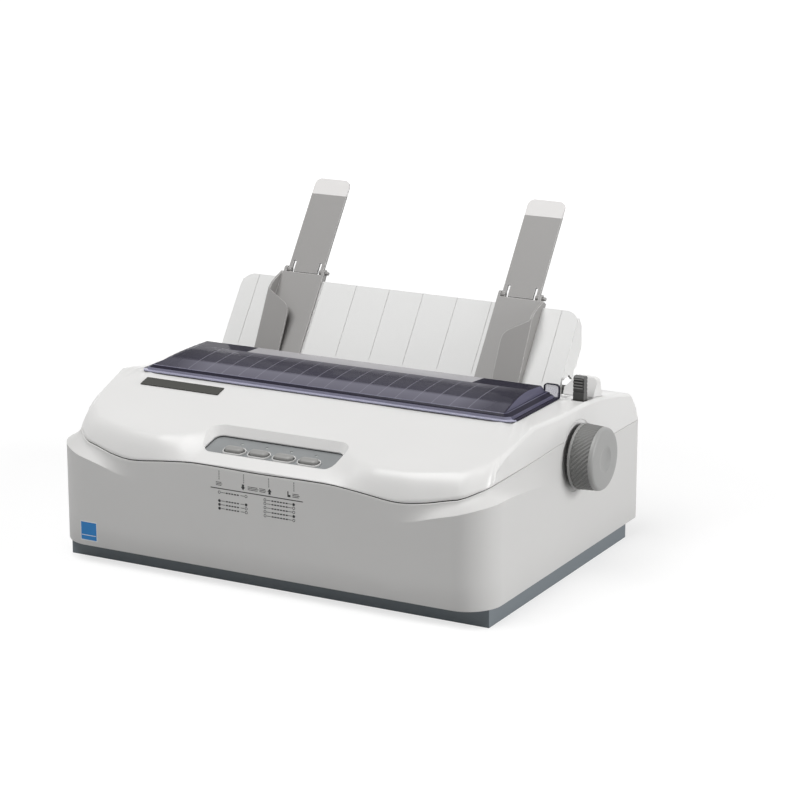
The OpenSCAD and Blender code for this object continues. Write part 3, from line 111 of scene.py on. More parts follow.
def dress(finish, *names):
    """Gives CAD nodes their finish."""
    for name in names:
        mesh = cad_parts[name].data
        mesh.materials.clear()
        mesh.materials.append(finish)


dress(moulded("pan_plastic", (0.155, 0.18, 0.20), rough=0.5, strength=0.3), "base_pan")
dress(moulded("foot_rubber", (0.02, 0.02, 0.02), rough=0.75, strength=0.3), "rubber_feet")

# --------------------------------------------------
# Chassis, side frames and other sheet metal
# Pressed from zinc-plated steel sheet, with the faint streaks of rolling. The cover of the
# power supply and the tray under the platen are cut from the same sheet.
# --------------------------------------------------


def metal(name, colour, rough, streaks=(1, 1, 1), scale=300, spread=0.06):
    """Bare or plated metal, with streaks where its scale is stretched."""
    finish, tree, skin = new_finish(name)
    skin.inputs["Metallic"].default_value = 1.0
    skin.inputs["Roughness"].default_value = rough
    lumps = noise(tree, scale, 3, streaks)
    tinted(tree, skin, lumps, colour, spread)
    grained(tree, skin, lumps, 0.00005, 0.15, 0.3 * MM)
    return finish


zinc = metal("zinc_plated_sheet", (0.60, 0.61, 0.62), 0.38, (0.05, 1, 1))
dress(zinc, "chassis_plate", "left_side_frame", "right_side_frame", "power_supply", "paper_pan")

# --------------------------------------------------
# Rods and shafts
# Ground and polished steel bar, turned round in its bearings or held in the side frames, with
# bronze bushes under the platen's two ends and steel screws into the base pan.
# --------------------------------------------------
ground_steel = metal("ground_steel", (0.66, 0.66, 0.67), 0.18, (1, 0.02, 0.02), 500, 0.03)
dress(ground_steel, "platen_shaft", "tractor_shaft", "tractor_rail", "carriage_rod", "front_rail",
      "idler_stud", "casing_screws")
dress(metal("sintered_bronze", (0.52, 0.36, 0.18), 0.5), "platen_bushes")

# --------------------------------------------------
# Platen, rollers and belt
# The platen is a rubber tube ground round on its shaft. The pressure rollers under it are softer
# rubber, and the carriage belt is ribbed black rubber.
# --------------------------------------------------
dress(moulded("platen_rubber", (0.018, 0.018, 0.02), rough=0.55, grain=2500, strength=0.25),
      "platen_roller", "pressure_rollers", "carriage_belt")

# --------------------------------------------------
# Gears, sprockets and ribbon knob
# Moulded in unfilled nylon, a warm white that lets a little light in.
# --------------------------------------------------
nylon = moulded("natural_nylon", (0.70, 0.68, 0.60), rough=0.4)
dress(nylon, "platen_gear", "idler_gear", "feed_pinion", "tractor_gear", "tractor_sprockets",
      "ribbon_knob")

# --------------------------------------------------
# Tractors, carriage, cartridge and levers
# Glass-filled black plastics. The two motors are enamelled black, and the print head and the belt
# pulleys are die-cast and left bare.
# --------------------------------------------------
dress(moulded("filled_nylon", (0.035, 0.035, 0.038), rough=0.5, strength=0.3),
      "left_tractor", "right_tractor", "head_carriage", "head_gap_lever")
dress(moulded("cartridge_plastic", (0.03, 0.03, 0.032), rough=0.38), "ribbon_cartridge")
dress(moulded("inked_ribbon", (0.01, 0.01, 0.014), rough=0.8, grain=3000, strength=0.6), "ink_ribbon")
dress(moulded("motor_enamel", (0.02, 0.02, 0.02), rough=0.3), "feed_motor", "carriage_motor")
dress(metal("die_cast", (0.46, 0.46, 0.47), 0.45), "print_head", "drive_pulley", "idler_pulley")

# --------------------------------------------------
# Electrics
# Circuit boards in green lacquer, black sockets in the rear wall and small diffused lamps on the
# panel's own board.
# --------------------------------------------------
dress(moulded("board_lacquer", (0.012, 0.10, 0.045), rough=0.3, strength=0.3),
      "main_board", "panel_board")
dress(moulded("socket_plastic", (0.025, 0.025, 0.027), rough=0.42),
      "power_inlet", "data_ports", "power_switch")
dress(moulded("lamp_lens", (0.42, 0.45, 0.43), rough=0.3), "panel_lamps")

# --------------------------------------------------
# Casing shells
# Two mouldings in white plastic. The upper one has a satin front slope that rolls over its edges
# and stands back from the lower one, which leaves a soft ledge round the front corners.
# --------------------------------------------------
HALF_W, HALF_D = 200.0, 145.5
SKIN = 0.12
CORNER_R, REAR_CORNER_R = 30.0, 6.0
SHELL_WALL = 3.0
SEAM_Z = 102.0
LEDGE, SIDE_CLIMB = 14.0, 17.0
TOP_Z, FRONT_FALL = 142.0, 0.294
PAN_TOP = 15.0
KNOB_Y, KNOB_R = 18.0, 26.5
SIDE_RUN = 2 * HALF_D - CORNER_R - REAR_CORNER_R
COVER_FRONT, COVER_REAR = -50.5, 33.0
REAR_EDGE = HALF_D - 19.5
STEP_Y = KNOB_Y - KNOB_R + 0.5
CREASE_Y = STEP_Y + 4


def at_side(y):
    return 2 + (y + HALF_D - CORNER_R) / SIDE_RUN


def at_front(x):
    return x / (HALF_W - CORNER_R)


def way_round(u):
    """Distance in millimetres from the middle of the front, along the outline."""
    turn, rear_turn = CORNER_R * math.pi / 2, REAR_CORNER_R * math.pi / 2
    marks = np.cumsum([0, HALF_W - CORNER_R, turn, SIDE_RUN, rear_turn, HALF_W - REAR_CORNER_R])
    return np.interp(u, np.arange(6), marks)


def bent_through(keys, u):
    """A smooth curve through keyed values, level at its two ends."""
    at, value = np.array(keys).T
    at, u = way_round(at), way_round(u)
    slope = np.zeros(len(at))
    slope[1:-1] = (value[2:] - value[:-2]) / (at[2:] - at[:-2])
    u = np.clip(u, at[0], at[-1])
    i = np.clip(np.searchsorted(at, u, side="left") - 1, 0, len(at) - 2)
    h = at[i + 1] - at[i]
    t = (u - at[i]) / h
    return ((2 * t**3 - 3 * t**2 + 1) * value[i] + (t**3 - 2 * t**2 + t) * h * slope[i]
            + (3 * t**2 - 2 * t**3) * value[i + 1] + (t**3 - t**2) * h * slope[i + 1])


def straight_through(keys, at):
    return np.interp(at, *np.array(keys).T)


def outline(u):
    """Point and outward normal on the casing's plan outline, a hair inside so that print and labels
    can lie on it. The front is 0 to 1, its corner to 2, the side to 3, the rear to 5."""
    p, n = corner_outline(u)
    return p - SKIN * n, n


def corner_outline(u):
    if u < 1:
        return np.array([u * (HALF_W - CORNER_R), -HALF_D]), np.array([0.0, -1.0])
    if u < 2:
        a = (u - 1) * math.pi / 2
        n = np.array([math.sin(a), -math.cos(a)])
        return np.array([HALF_W - CORNER_R, CORNER_R - HALF_D]) + CORNER_R * n, n
    if u < 3:
        return np.array([HALF_W, CORNER_R - HALF_D + (u - 2) * SIDE_RUN]), np.array([1.0, 0.0])
    if u < 4:
        a = (u - 3) * math.pi / 2
        n = np.array([math.cos(a), math.sin(a)])
        return np.array([HALF_W - REAR_CORNER_R, HALF_D - REAR_CORNER_R]) + REAR_CORNER_R * n, n
    return np.array([(5 - u) * (HALF_W - REAR_CORNER_R), HALF_D]), np.array([0.0, 1.0])


# Each line gives a value at places along the outline: the seam's height over SEAM_Z, how much of the
# ledge's depth there is, the height of the crease under it, and the height of the upper shell's edge,
# how far in it is rounded over and how full that rounding is. TOP_LINE goes by Y instead.
SEAM_LINE = [
    (0, -1.7), (at_front(62), -1.1), (at_front(90), -3.5), (at_front(122), -6.9), (at_front(146), -5.1),
    (at_front(160), -2.5), (1, -0.8), (1.5, 3.4), (2, 7.1), (at_side(-57), 11.6),
    (at_side(STEP_Y), SIDE_CLIMB)]
LEDGE_LINE = [
    (at_front(110), 0), (at_front(128), 0.05), (at_front(140), 0.2), (at_front(153), 0.44),
    (1, 0.74), (1.5, 0.98), (2, 0.76), (at_side(-60), 0.42), (at_side(CREASE_Y), 0)]
SHOULDER_LINE = [
    (at_front(85), -16), (at_front(110), -23), (at_front(134), -21), (at_front(155), -15),
    (1, -11), (1.5, -5), (2, -3), (at_side(-73), -6), (at_side(-34), -11), (at_side(CREASE_Y), -16)]
TOP_LINE = [
    (-HALF_D, TOP_Z - FRONT_FALL * (HALF_D + COVER_FRONT)), (COVER_FRONT, TOP_Z),
    (COVER_FRONT + 84, TOP_Z), (64, TOP_Z - 2.3), (100, TOP_Z - 8), (REAR_EDGE, TOP_Z - 13.8),
    (HALF_D, SEAM_Z + 2)]
EDGE_LINE = [
    (0, 102.4), (at_front(60), 102.2), (at_front(90), 99.5), (at_front(122), 97), (at_front(150), 100),
    (1, 104), (1.5, 107.5), (at_side(-112), 110.5), (at_side(-105), 121), (at_side(-95), 126.5),
    (at_side(-79), 131), (at_side(-54), 138)]
ROUND_LINE = [
    (0, 38), (at_front(60), 36), (at_front(80), 20), (at_front(100), 13), (at_front(150), 13),
    (1, 14), (1.5, 18), (2, 18), (at_side(-105), 13), (at_side(-95), 9), (at_side(-79), 5.5),
    (at_side(-54), 4.5), (3, 4), (4, 2.5)]
TURN_LINE = [
    (0, 1.9), (at_front(60), 1.9), (at_front(100), 2.1), (1, 2.1), (1.5, 2.3), (2, 2.3),
    (at_side(-95), 1.8), (5, 1.8)]
OPEN_HALF_W, OPEN_FRONT, OPEN_REAR = 168.0, -42.0, REAR_EDGE - 2


def seam_at(u):
    if u <= at_side(STEP_Y):
        return SEAM_Z + bent_through(SEAM_LINE, u)
    if u >= at_side(CREASE_Y):
        return SEAM_Z
    return SEAM_Z + SIDE_CLIMB * (at_side(CREASE_Y) - u) / (at_side(CREASE_Y) - at_side(STEP_Y))


def seam_gap(u):
    """The joint is open at the front and closes up round the sides."""
    return straight_through([(0, 0.8), (1, 0.8), (2, 0.4), (at_side(-60), 0.1), (5, 0.1)], u)


def top_at(y):
    return straight_through(TOP_LINE, y)


def edge_at(u, y):
    if u < at_side(-54):
        return straight_through(EDGE_LINE, u)
    if u < 3:
        return top_at(y) - min(2.6, (HALF_D - y) / 6 + 1)
    return SEAM_Z + 1


def upper_profile(u):
    """The upper shell's closed section at one place along the outline, in 3-D."""
    p, n = outline(u)
    foot = p - n * LEDGE * bent_through(LEDGE_LINE, u)
    mouth = np.array([p[0] * OPEN_HALF_W / HALF_W,
                      (OPEN_FRONT + OPEN_REAR) / 2 + p[1] * (OPEN_REAR - OPEN_FRONT) / (2 * HALF_D)])
    low = seam_at(u) + seam_gap(u) / 2
    edge = max(low + 0.6, edge_at(u, foot[1]))
    run = np.linalg.norm(mouth - foot)
    way = (mouth - foot) / run
    b = straight_through(ROUND_LINE, u)
    drop = top_at(foot[1]) - edge
    turn = straight_through(TURN_LINE, u)

    def on_round(t):
        q = foot + way * b * t
        return q, top_at(q[1]) - drop * (1 - t) ** turn

    rows = [(foot - n * 0.5, low), (foot - n * 0.12, low + 0.12), (foot, low + 0.5)]
    rows += [on_round(t) for t in np.linspace(0, 1, 16) ** 1.25]
    for t in (0.1, 0.3, 0.55, 0.8, 0.97):
        q = foot + way * (b + (run - b) * t)
        rows.append((q, top_at(q[1])))
    rows += [(mouth - way * 0.25, top_at(mouth[1]) - 0.08), (mouth, top_at(mouth[1]) - 0.5)]
    for t in (1, 0.5, 0):
        q = foot + way * (b + (run - b) * t)
        rows.append((q, top_at(q[1]) - SHELL_WALL))
    for t in (0.6, 0.3, 0):
        q = foot + way * (b * t + SHELL_WALL * (1 - t))
        rows.append((q, top_at(q[1]) - drop * (1 - t) ** turn - SHELL_WALL * (0.4 + 0.6 * t)))
    rows.append((foot - n * SHELL_WALL, low))
    return [(q[0], q[1], z) for q, z in rows]


def lower_profile(u):
    """The lower shell's closed section, from its flange on the pan to the ledge under the seam."""
    p, n = outline(u)
    foot = p - n * LEDGE * bent_through(LEDGE_LINE, u)
    high = seam_at(u) - seam_gap(u) / 2
    shoulder = SEAM_Z + bent_through(SHOULDER_LINE, u)
    rim = p - n * 9
    rows = [(rim, PAN_TOP), (p - n * 1.2, PAN_TOP), (p - n * 0.35, PAN_TOP + 0.35),
            (p, PAN_TOP + 1.2)]
    rows += [(p, PAN_TOP + (shoulder - PAN_TOP) * t) for t in (0.3, 0.6, 0.85, 0.97, 0.995)]
    # The ledge leaves the wall at a crease, nearly level, and sweeps up into the seam
    for t in np.linspace(0, 1, 13):
        lean = 1 - (1 - t) ** 1.8
        rows.append((p + (foot - p) * 0.94 * lean, shoulder + (high - 0.5 - shoulder) * t))
    rows += [(foot - n * 0.1, high - 0.12), (foot - n * 0.6, high), (foot - n * SHELL_WALL, high)]
    rows += [(p - n * SHELL_WALL, shoulder - SHELL_WALL), (p - n * SHELL_WALL, PAN_TOP + SHELL_WALL),
             (rim, PAN_TOP + SHELL_WALL)]
    return [(q[0], q[1], z) for q, z in rows]


def stations():
    """Places along half the outline, close together where it bends."""
    front = np.concatenate([np.linspace(0, 0.3, 8), np.linspace(0.33, 1, 34)])
    corner = np.linspace(1, 2, 25)[1:]
    side = [at_side(y) for y in np.concatenate([
        np.linspace(-115, -54, 44)[1:], np.linspace(-51, STEP_Y, 16), [STEP_Y + 1.3, STEP_Y + 2.7],
        np.linspace(CREASE_Y, REAR_EDGE, 24), [REAR_EDGE + 0.5, 131, 136]])]
    return np.concatenate([front, corner, side, np.linspace(3, 4, 9), np.linspace(4.04, 5, 20)])


def into_scene(name, data):
    """A new object that holds a mesh, a lamp or the camera."""
    thing = bpy.data.objects.new(name, data)
    bpy.context.scene.collection.objects.link(thing)
    return thing


def mesh_piece(name, points, faces, finish, body):
    """A mesh from points in millimetres, smooth except at its hard edges, riding on a body."""
    mesh = bpy.data.meshes.new(name)
    mesh.from_pydata([Vector(p) * MM for p in points], [], faces)
    piece = into_scene(name, mesh)
    work = bmesh.new()
    work.from_mesh(mesh)
    bmesh.ops.recalc_face_normals(work, faces=work.faces)
    work.to_mesh(mesh)
    work.free()
    mesh.materials.append(finish)
    soften(piece)
    if body:
        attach(piece, body)
    return piece


def soften(piece, angle=32):
    piece.data.shade_smooth()
    piece.data.set_sharp_from_angle(angle=math.radians(angle))


def faces_over(loops, steps):
    """Four-sided faces from each loop of points to the next, for that many steps."""
    n, m = len(loops), len(loops[0])
    return [(i * m + j, i * m + (j + 1) % m, (i + 1) % n * m + (j + 1) % m, (i + 1) % n * m + j)
            for i in range(steps) for j in range(m)]


def ring(name, loops, finish, body=None):
    """A closed ring skinned over loops of equal length, the last one joined to the first."""
    return mesh_piece(name, [p for loop in loops for p in loop], faces_over(loops, len(loops)), finish, body)


def casing_ring(name, profile, finish):
    """A closed ring skinned over sections all round the casing."""
    half = [profile(u) for u in stations()]
    return ring(name, half + [[(-x, y, z) for x, y, z in s] for s in reversed(half[1:-1])], finish)


def stack(name, loops, finish=None, body=None):
    """A closed solid skinned over loops of equal length, with flat caps."""
    m = len(loops[0])
    faces = faces_over(loops, len(loops) - 1)
    faces += [tuple(range(m)), tuple(reversed(range((len(loops) - 1) * m, len(loops) * m)))]
    return mesh_piece(name, [p for loop in loops for p in loop], faces, finish or shell_white, body)


def along_x(outline_yz, x0, x1):
    return [[(x, y, z) for y, z in outline_yz] for x in (x0, x1)]


def disc(y, z, r, count=96):
    turn = np.linspace(0, 2 * math.pi, count, endpoint=False)
    return [(y + r * math.cos(a), z + r * math.sin(a)) for a in turn]


def cut(piece, tool, way="DIFFERENCE"):
    """Cuts a tool out of a piece, or joins it on, and throws the tool away."""
    step = piece.modifiers.new("cut", "BOOLEAN")
    step.operation = way
    step.solver = "EXACT"
    step.object = tool
    made = bpy.data.meshes.new_from_object(piece.evaluated_get(bpy.context.evaluated_depsgraph_get()))
    piece.modifiers.clear()
    old = piece.data
    piece.data = made
    bpy.data.meshes.remove(old)
    bpy.data.objects.remove(tool)


shell_white = moulded("shell_white_satin", (0.775, 0.77, 0.76), rough=0.32, grain=1400, strength=0.05,
                      spread=0.008, edge=0.9)
shell_matt = moulded("shell_white_matt", (0.67, 0.665, 0.655), rough=0.5, grain=1600, strength=0.12,
                     spread=0.008, edge=0.5)

SLEEVE_R, DISH_R, DISH_DEEP = 9.5, KNOB_R + 3, 0.5


def knob_opening(piece):
    """Round hole for the knob's sleeve and the shallow dish behind the knob."""
    for name, r, x0 in (("sleeve_hole", SLEEVE_R, HALF_W - 12), ("knob_dish", DISH_R, HALF_W - DISH_DEEP)):
        cut(piece, stack(name, along_x(disc(KNOB_Y, SEAM_Z, r), x0, HALF_W + 3)))


lower_shell = casing_ring("lower_shell", lower_profile, shell_matt)
knob_opening(lower_shell)


def joint_shade_profile(u):
    """The dark strip that closes the joint behind its open edge, painted near-black as the shade inside the gap.
    """
    p, n = outline(u)
    foot = p - n * LEDGE * bent_through(LEDGE_LINE, u)
    z, half = seam_at(u), seam_gap(u) / 2 + 0.25
    rows = [(0.75, z - half), (0.75, z + half), (2.2, z + half), (2.2, z - half)]
    return [(*(foot - n * inset), z) for inset, z in rows]


# The strip's near-black is painted shade, put where the open joint shows shadow
joint_shade = moulded("joint_shadow", (0.015, 0.015, 0.015), rough=0.8)
joint_shade_strip = casing_ring("joint_shade_strip", joint_shade_profile, joint_shade)
knob_opening(joint_shade_strip)
soften(joint_shade_strip)
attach(joint_shade_strip, "housing")


def block_on(y0, y1, z0, z1):
    """A rectangle in Y and Z, to run along X."""
    return [(y0, z0), (y1, z0), (y1, z1), (y0, z1)]


# Centre and size of the openings for the inlet, the switch and the two data ports
REAR_HOLES = ((-135, 42, 28.4, 20.4), (-92, 42, 20.4, 14.4), (86, 46, 52.4, 14.4), (136, 46, 13.4, 12.4))
for x, z, w, h in REAR_HOLES:
    cut(lower_shell, stack("rear_hole", along_x(block_on(HALF_D - 5, HALF_D + 2, z - h / 2, z + h / 2),
                                                x - w / 2, x + w / 2)))
VENTS, VENT_Y, VENT_PITCH, VENT_W = 10, -20, 9, 4
for y in [VENT_Y + VENT_PITCH * i for i in range(VENTS)]:
    cut(lower_shell, stack("vent_slot", along_x(block_on(y, y + VENT_W, 34, 60), -HALF_W - 2, -HALF_W + 5)))
soften(lower_shell)
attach(lower_shell, "housing")
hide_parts("lower_casing")

# The control panel's well, in the panel's own frame: X along the panel, Z square to its floor
PANEL_W, PANEL_D, PANEL_R, PANEL_TILT = 119.0, 25.9, 7, math.radians(14.8)
PANEL_SETBACK, PANEL_UP, FLOOR_DROP = 8.9, 8.5, 1.9
panel_frame = (Matrix.Translation((0, PANEL_SETBACK - HALF_D + PANEL_D / 2 * math.cos(PANEL_TILT),
                                   SEAM_Z + PANEL_UP + PANEL_D / 2 * math.sin(PANEL_TILT)))
               @ Matrix.Rotation(PANEL_TILT, 4, "X"))


def on_panel(loop):
    return [tuple(panel_frame @ Vector(p)) for p in loop]


def rounded(w, d, r, z, steps=12):
    """A rectangle with round corners, as a loop at height z."""
    loop = []
    for k, (sx, sy) in enumerate(((1, 1), (-1, 1), (-1, -1), (1, -1))):
        for a in np.linspace(k * 90, k * 90 + 90, steps + 1):
            loop.append((sx * (w / 2 - r) + r * math.cos(math.radians(a)),
                         sy * (d / 2 - r) + r * math.sin(math.radians(a)), z))
    return loop


def well(grow, low):
    """The well's sloping walls, as a solid that is wider towards its top."""
    loops = []
    for z in np.linspace(low, 12.0, 8):
        flare = 0.8 * max(0, z)
        loops.append(on_panel(rounded(PANEL_W + 2 * (grow + flare), PANEL_D + 2 * (grow + flare),
                                      PANEL_R + flare, z)))
    return stack("well", loops)


def nose_at(y):
    """Height of the shell over the middle of its front."""
    t = min(1, (y + HALF_D) / ROUND_LINE[0][1])
    return top_at(y) - (top_at(-HALF_D) - EDGE_LINE[0][1]) * (1 - t) ** TURN_LINE[0][1]


upper_shell = casing_ring("upper_shell", upper_profile, shell_white)
block = well(2.4, -0.9)
under = [(y, nose_at(y) - 0.8) for y in np.arange(5 - HALF_D, 50 - HALF_D, 2)]
under += [(under[-1][0], SEAM_Z - 2), (under[0][0], SEAM_Z - 2)]
cut(block, stack("under_nose", along_x(under, -HALF_W / 2, HALF_W / 2)), "INTERSECT")
cut(upper_shell, block, "UNION")
cut(upper_shell, well(0, 0))
cut(upper_shell, stack("panel_window", [on_panel(rounded(PANEL_W, PANEL_D, PANEL_R, z)) for z in (-10, 2)]))
LEVER_X, LEVER_W, SLOT_GAP = 185.8, 9.5, 1.2
cut(upper_shell, stack("lever_slot", along_x(block_on(36.5, 55, 130, 150),
                                             LEVER_X - SLOT_GAP, LEVER_X + LEVER_W + SLOT_GAP)))
HINGE_Y, HINGE_Z = COVER_REAR, TOP_Z - 4.5
# Notches that the cover's rear corners swing into
for x0, x1, reach in ((167.0, 177.6, 18.8), (-176.4, -167.0, 12.0)):
    cut(upper_shell, stack("corner_notch", along_x(block_on(HINGE_Y + 3, HINGE_Y - 1 + reach,
                                                            HINGE_Z + 1.2, HINGE_Z + 9), x0, x1)))
knob_opening(upper_shell)
soften(upper_shell)
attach(upper_shell, "housing")
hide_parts("upper_casing")

# Cheeks under the top that carry the pins of the cover and the paper support, and the lever's ear
CHEEK_T = 6
cheek = [(HINGE_Y - 12, TOP_Z - 18), (67, TOP_Z - 18), (67, top_at(67) - 1.2), (55, top_at(55) - 1.2),
         (54, HINGE_Z - 0.5), (HINGE_Y, HINGE_Z - 0.5), (HINGE_Y - 4, TOP_Z - 1.2), (HINGE_Y - 12, TOP_Z - 1.2)]
for side, x0 in (("left", -OPEN_HALF_W - CHEEK_T), ("right", OPEN_HALF_W)):
    plate = stack(f"{side}_hinge_cheek", along_x(cheek, x0, x0 + CHEEK_T), shell_white, "housing")
ear = [(35.5, 93), (49.5, 93), (49.5, top_at(49.5) - 1.2), (35.5, TOP_Z - 1.8)]
lever_ear = stack("lever_ear", along_x(ear, LEVER_X - 7.6, LEVER_X - 2.4), shell_white, "housing")

# --------------------------------------------------
# Control panel
# A blue-grey moulded plate clipped under the well's window. White collars stand round the four
# buttons, and a small lamp shows behind each one.
# --------------------------------------------------
BUTTON_XS = [(i - 1.5) * 23 + 1.6 for i in range(4)]
BUTTON_Y, LAMP_Y, LAMP_R = -6.0, 6.3, 1.25
BUTTON_W, BUTTON_D = 16.6, 7.4
panel_grey = moulded("panel_blue_grey", (0.245, 0.255, 0.26), rough=0.5, strength=0.1, edge=0.2)


def oval(w, d, z, x=0.0, y=0.0, steps=14):
    """An oval loop, long along X, at height z."""
    loop = []
    for side, start in ((1, -90), (-1, 90)):
        for a in np.linspace(start, start + 180, steps + 1):
            loop.append((x + side * (w - d) / 2 + d / 2 * math.cos(math.radians(a)),
                         y + d / 2 * math.sin(math.radians(a)), z))
    return loop


panel_plate = stack("panel_plate", [on_panel(rounded(PANEL_W + 4, PANEL_D + 3.6, 8, z))
                                    for z in (-3.5, -FLOOR_DROP)], panel_grey)
for x in BUTTON_XS:
    cut(panel_plate, stack("button_hole", [on_panel(oval(BUTTON_W + 2.2, BUTTON_D + 1.8, z, x, BUTTON_Y))
                                           for z in (-8, 2)]))
    cut(panel_plate, stack("lamp_hole", [on_panel([(a, b, z) for a, b in disc(x, LAMP_Y, LAMP_R, 24)])
                                         for z in (-8, 2)]))
soften(panel_plate)
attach(panel_plate, "housing")
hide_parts("control_panel")

# A collar is a raised rim round its hole, which leaves a dark gap round the key. Each step of its
# section is how much wider than the key it is, and how far below the panel's floor.
COLLAR = ((2.2, 0.6), (4.2, 0.02), (4.1, -1.0), (3.6, -1.4), (2.6, -1.4), (2.2, -1.0))
for i, x in enumerate(BUTTON_XS):
    loops = [on_panel(oval(BUTTON_W + wide, BUTTON_D + wide - 0.4, -FLOOR_DROP - low, x, BUTTON_Y))
             for wide, low in COLLAR]
    collar = ring(f"button_collar_{i + 1}", loops, shell_white, "housing")

# --------------------------------------------------
# Buttons
# Four oval keys in grey plastic with softly domed tops, which press square to the panel against
# switches on the board behind it.
# --------------------------------------------------
button_grey = moulded("button_grey", (0.29, 0.288, 0.28), rough=0.36, strength=0.08, edge=0.2)
CROWN = ((0.0, -5.0), (0.0, 0.6), (0.25, 1.15), (0.8, 1.65), (1.6, 2.0), (2.6, 2.25), (3.5, 2.35))
for name, x in zip(("pause", "feed", "load", "tear"), BUTTON_XS):
    key = stack(f"{name}_key", [on_panel(oval(BUTTON_W - 2 * inset, BUTTON_D - 2 * inset, z, x, BUTTON_Y))
                                for inset, z in CROWN], button_grey, name)
    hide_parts(f"{name}_button")

# --------------------------------------------------
# Badge plate, printed legend and label
# The badge is a thin dark plate let in flush, left blank. The legend is pad-printed on the front
# wall in dark grey, with leaders down from the buttons. The label is a small blue sticker.
# --------------------------------------------------
dress(moulded("badge_dark", (0.022, 0.022, 0.017), rough=0.6, strength=0.05), "badge_plate")
ink = moulded("legend_ink", (0.02, 0.02, 0.02), rough=0.6, edge=0.02)
legend = bmesh.new()
PRINT_Y, PRINT_T = SKIN - HALF_D - 0.05, 0.07
DOT_R, RING_T = 1.25, 0.45


def printed(loop):
    """One flat printed shape on the front wall, from a loop in X and Z."""
    front = [legend.verts.new(Vector((x, PRINT_Y, z)) * MM) for x, z in loop]
    back = [legend.verts.new(Vector((x, PRINT_Y + PRINT_T, z)) * MM) for x, z in loop]
    legend.faces.new(front)
    legend.faces.new(list(reversed(back)))
    for k in range(len(loop)):
        legend.faces.new((front[k], back[k], back[(k + 1) % len(loop)], front[(k + 1) % len(loop)]))


def bar(x0, z0, x1, z1):
    printed([(x0, z0), (x1, z0), (x1, z1), (x0, z1)])


def dot(x, z, hollow):
    """A round mark, filled or as a ring of short pieces."""
    turn = [2 * math.pi * k / 16 for k in range(16)]
    if not hollow:
        printed([(x + DOT_R * math.cos(a), z + DOT_R * math.sin(a)) for a in turn])
        return
    for a, b in zip(turn, turn[1:] + [2 * math.pi]):
        printed([(x + q * math.cos(c), z + q * math.sin(c)) for q, c in
                 ((DOT_R, a), (DOT_R, b), (DOT_R - RING_T, b), (DOT_R - RING_T, a))])


def arrow(x, z, way):
    """An arrow that points up or down, as way is 1 or -1."""
    stem = [(x - 1.0, z - 2.2 * way), (x + 1.0, z - 2.2 * way), (x + 1.0, z), (x - 1.0, z)]
    head = [(x - 2.0, z), (x + 2.0, z), (x, z + 2.6 * way)]
    for loop in (stem, head):
        printed(loop[::way])


# Dotted leaders from the four buttons, down to an arrow, an arrow and a hand over the rule
for x in (-37.4, -14.4, 8.8, 31.9):
    for z in [90.9 + 1.6 * k for k in range(5)]:
        bar(x - 0.9, z, x - 0.1, z + 0.8)
arrow(-15.6, 87.6, -1)
arrow(9.0, 87.2, 1)
bar(-46, 83.0, 39.5, 83.75)
bar(25.4, 85.6, 28.2, 87.4)
bar(25.4, 87.4, 26.4, 90.2)
# Plain dashes stand where the printed words would be
for x0, x1 in ((-41.0, -35.0), (-11.2, -1.4), (-0.4, 6.0), (30.0, 36.6)):
    for z in (85.9, 87.1, 88.3):
        bar(x0, z, x1 - 0.8 * (z != 87.1), z + 0.5)
# Rows of two dots joined by dashes: height, and whether the left and the right dot are rings
LEFT_ROWS = ((80.2, True, True), (73.2, False, False), (70.0, False, True), (66.8, False, True))
RIGHT_ROWS = ((80.0, True, False), (77.0, True, True), (73.6, True, True), (70.2, True, False),
              (66.9, True, True))
for x0, x1, rows in ((-37.9, -12.9, LEFT_ROWS), (4.6, 31.0, RIGHT_ROWS)):
    for z, open_left, open_right in rows:
        dot(x0, z, open_left)
        dot(x1, z, open_right)
        bar(x0 + 1.6, z - 0.22, x0 + 5.2, z + 0.22)
        bar(x1 - 5.2, z - 0.22, x1 - 1.6, z + 0.22)
        for a in np.arange(x0 + 6.0, x1 - 7.4, 2.6):
            bar(a, z - 0.55, a + 1.9, z + 0.55)
mesh = bpy.data.meshes.new("printed_legend")
legend.to_mesh(mesh)
legend.free()
mesh.materials.append(ink)
printed_legend = into_scene("printed_legend", mesh)
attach(printed_legend, "housing")

LABEL_X0, LABEL_Z0, LABEL_X1, LABEL_Z1 = -174.3, 19.6, -157.6, 36.2


def sticker(name, x0, z0, x1, z1, proud, colour):
    """A printed paper patch on the front corner, following the wall's plan."""
    columns = np.linspace(x0, x1, 9)
    walls = []
    for x in columns:
        past = max(0, -x - (HALF_W - CORNER_R))
        walls.append(SKIN - HALF_D + CORNER_R - math.sqrt(CORNER_R**2 - past**2))
    loops = [[(x, y - proud, z0), (x, y + 0.05, z0), (x, y + 0.05, z1), (x, y - proud, z1)]
             for x, y in zip(columns, walls)]
    gloss_print = moulded(f"{name}_print", colour, rough=0.35, strength=0.02, edge=0.05)
    piece = stack(name, loops, gloss_print, "housing")


sticker("label_paper", LABEL_X0, LABEL_Z0, LABEL_X1, LABEL_Z1, 0.06, (0.78, 0.80, 0.82))
sticker("label_blue", LABEL_X0 + 0.7, LABEL_Z0 + 0.7, LABEL_X1 - 0.7, LABEL_Z1 - 0.7, 0.09, (0.0, 0.19, 0.52))
sticker("label_line", LABEL_X0 + 1.4, LABEL_Z0 + 4.4, LABEL_X1 - 1.4, LABEL_Z0 + 5.0, 0.11, (0.75, 0.8, 0.85))

# --------------------------------------------------
# Smoked cover
# Moulded in tinted clear plastic, about 2 mm thick, with polished faces. Its bevelled rim lies on
# the casing, and ears at the rear corners swing on pins inside the opening.
# --------------------------------------------------


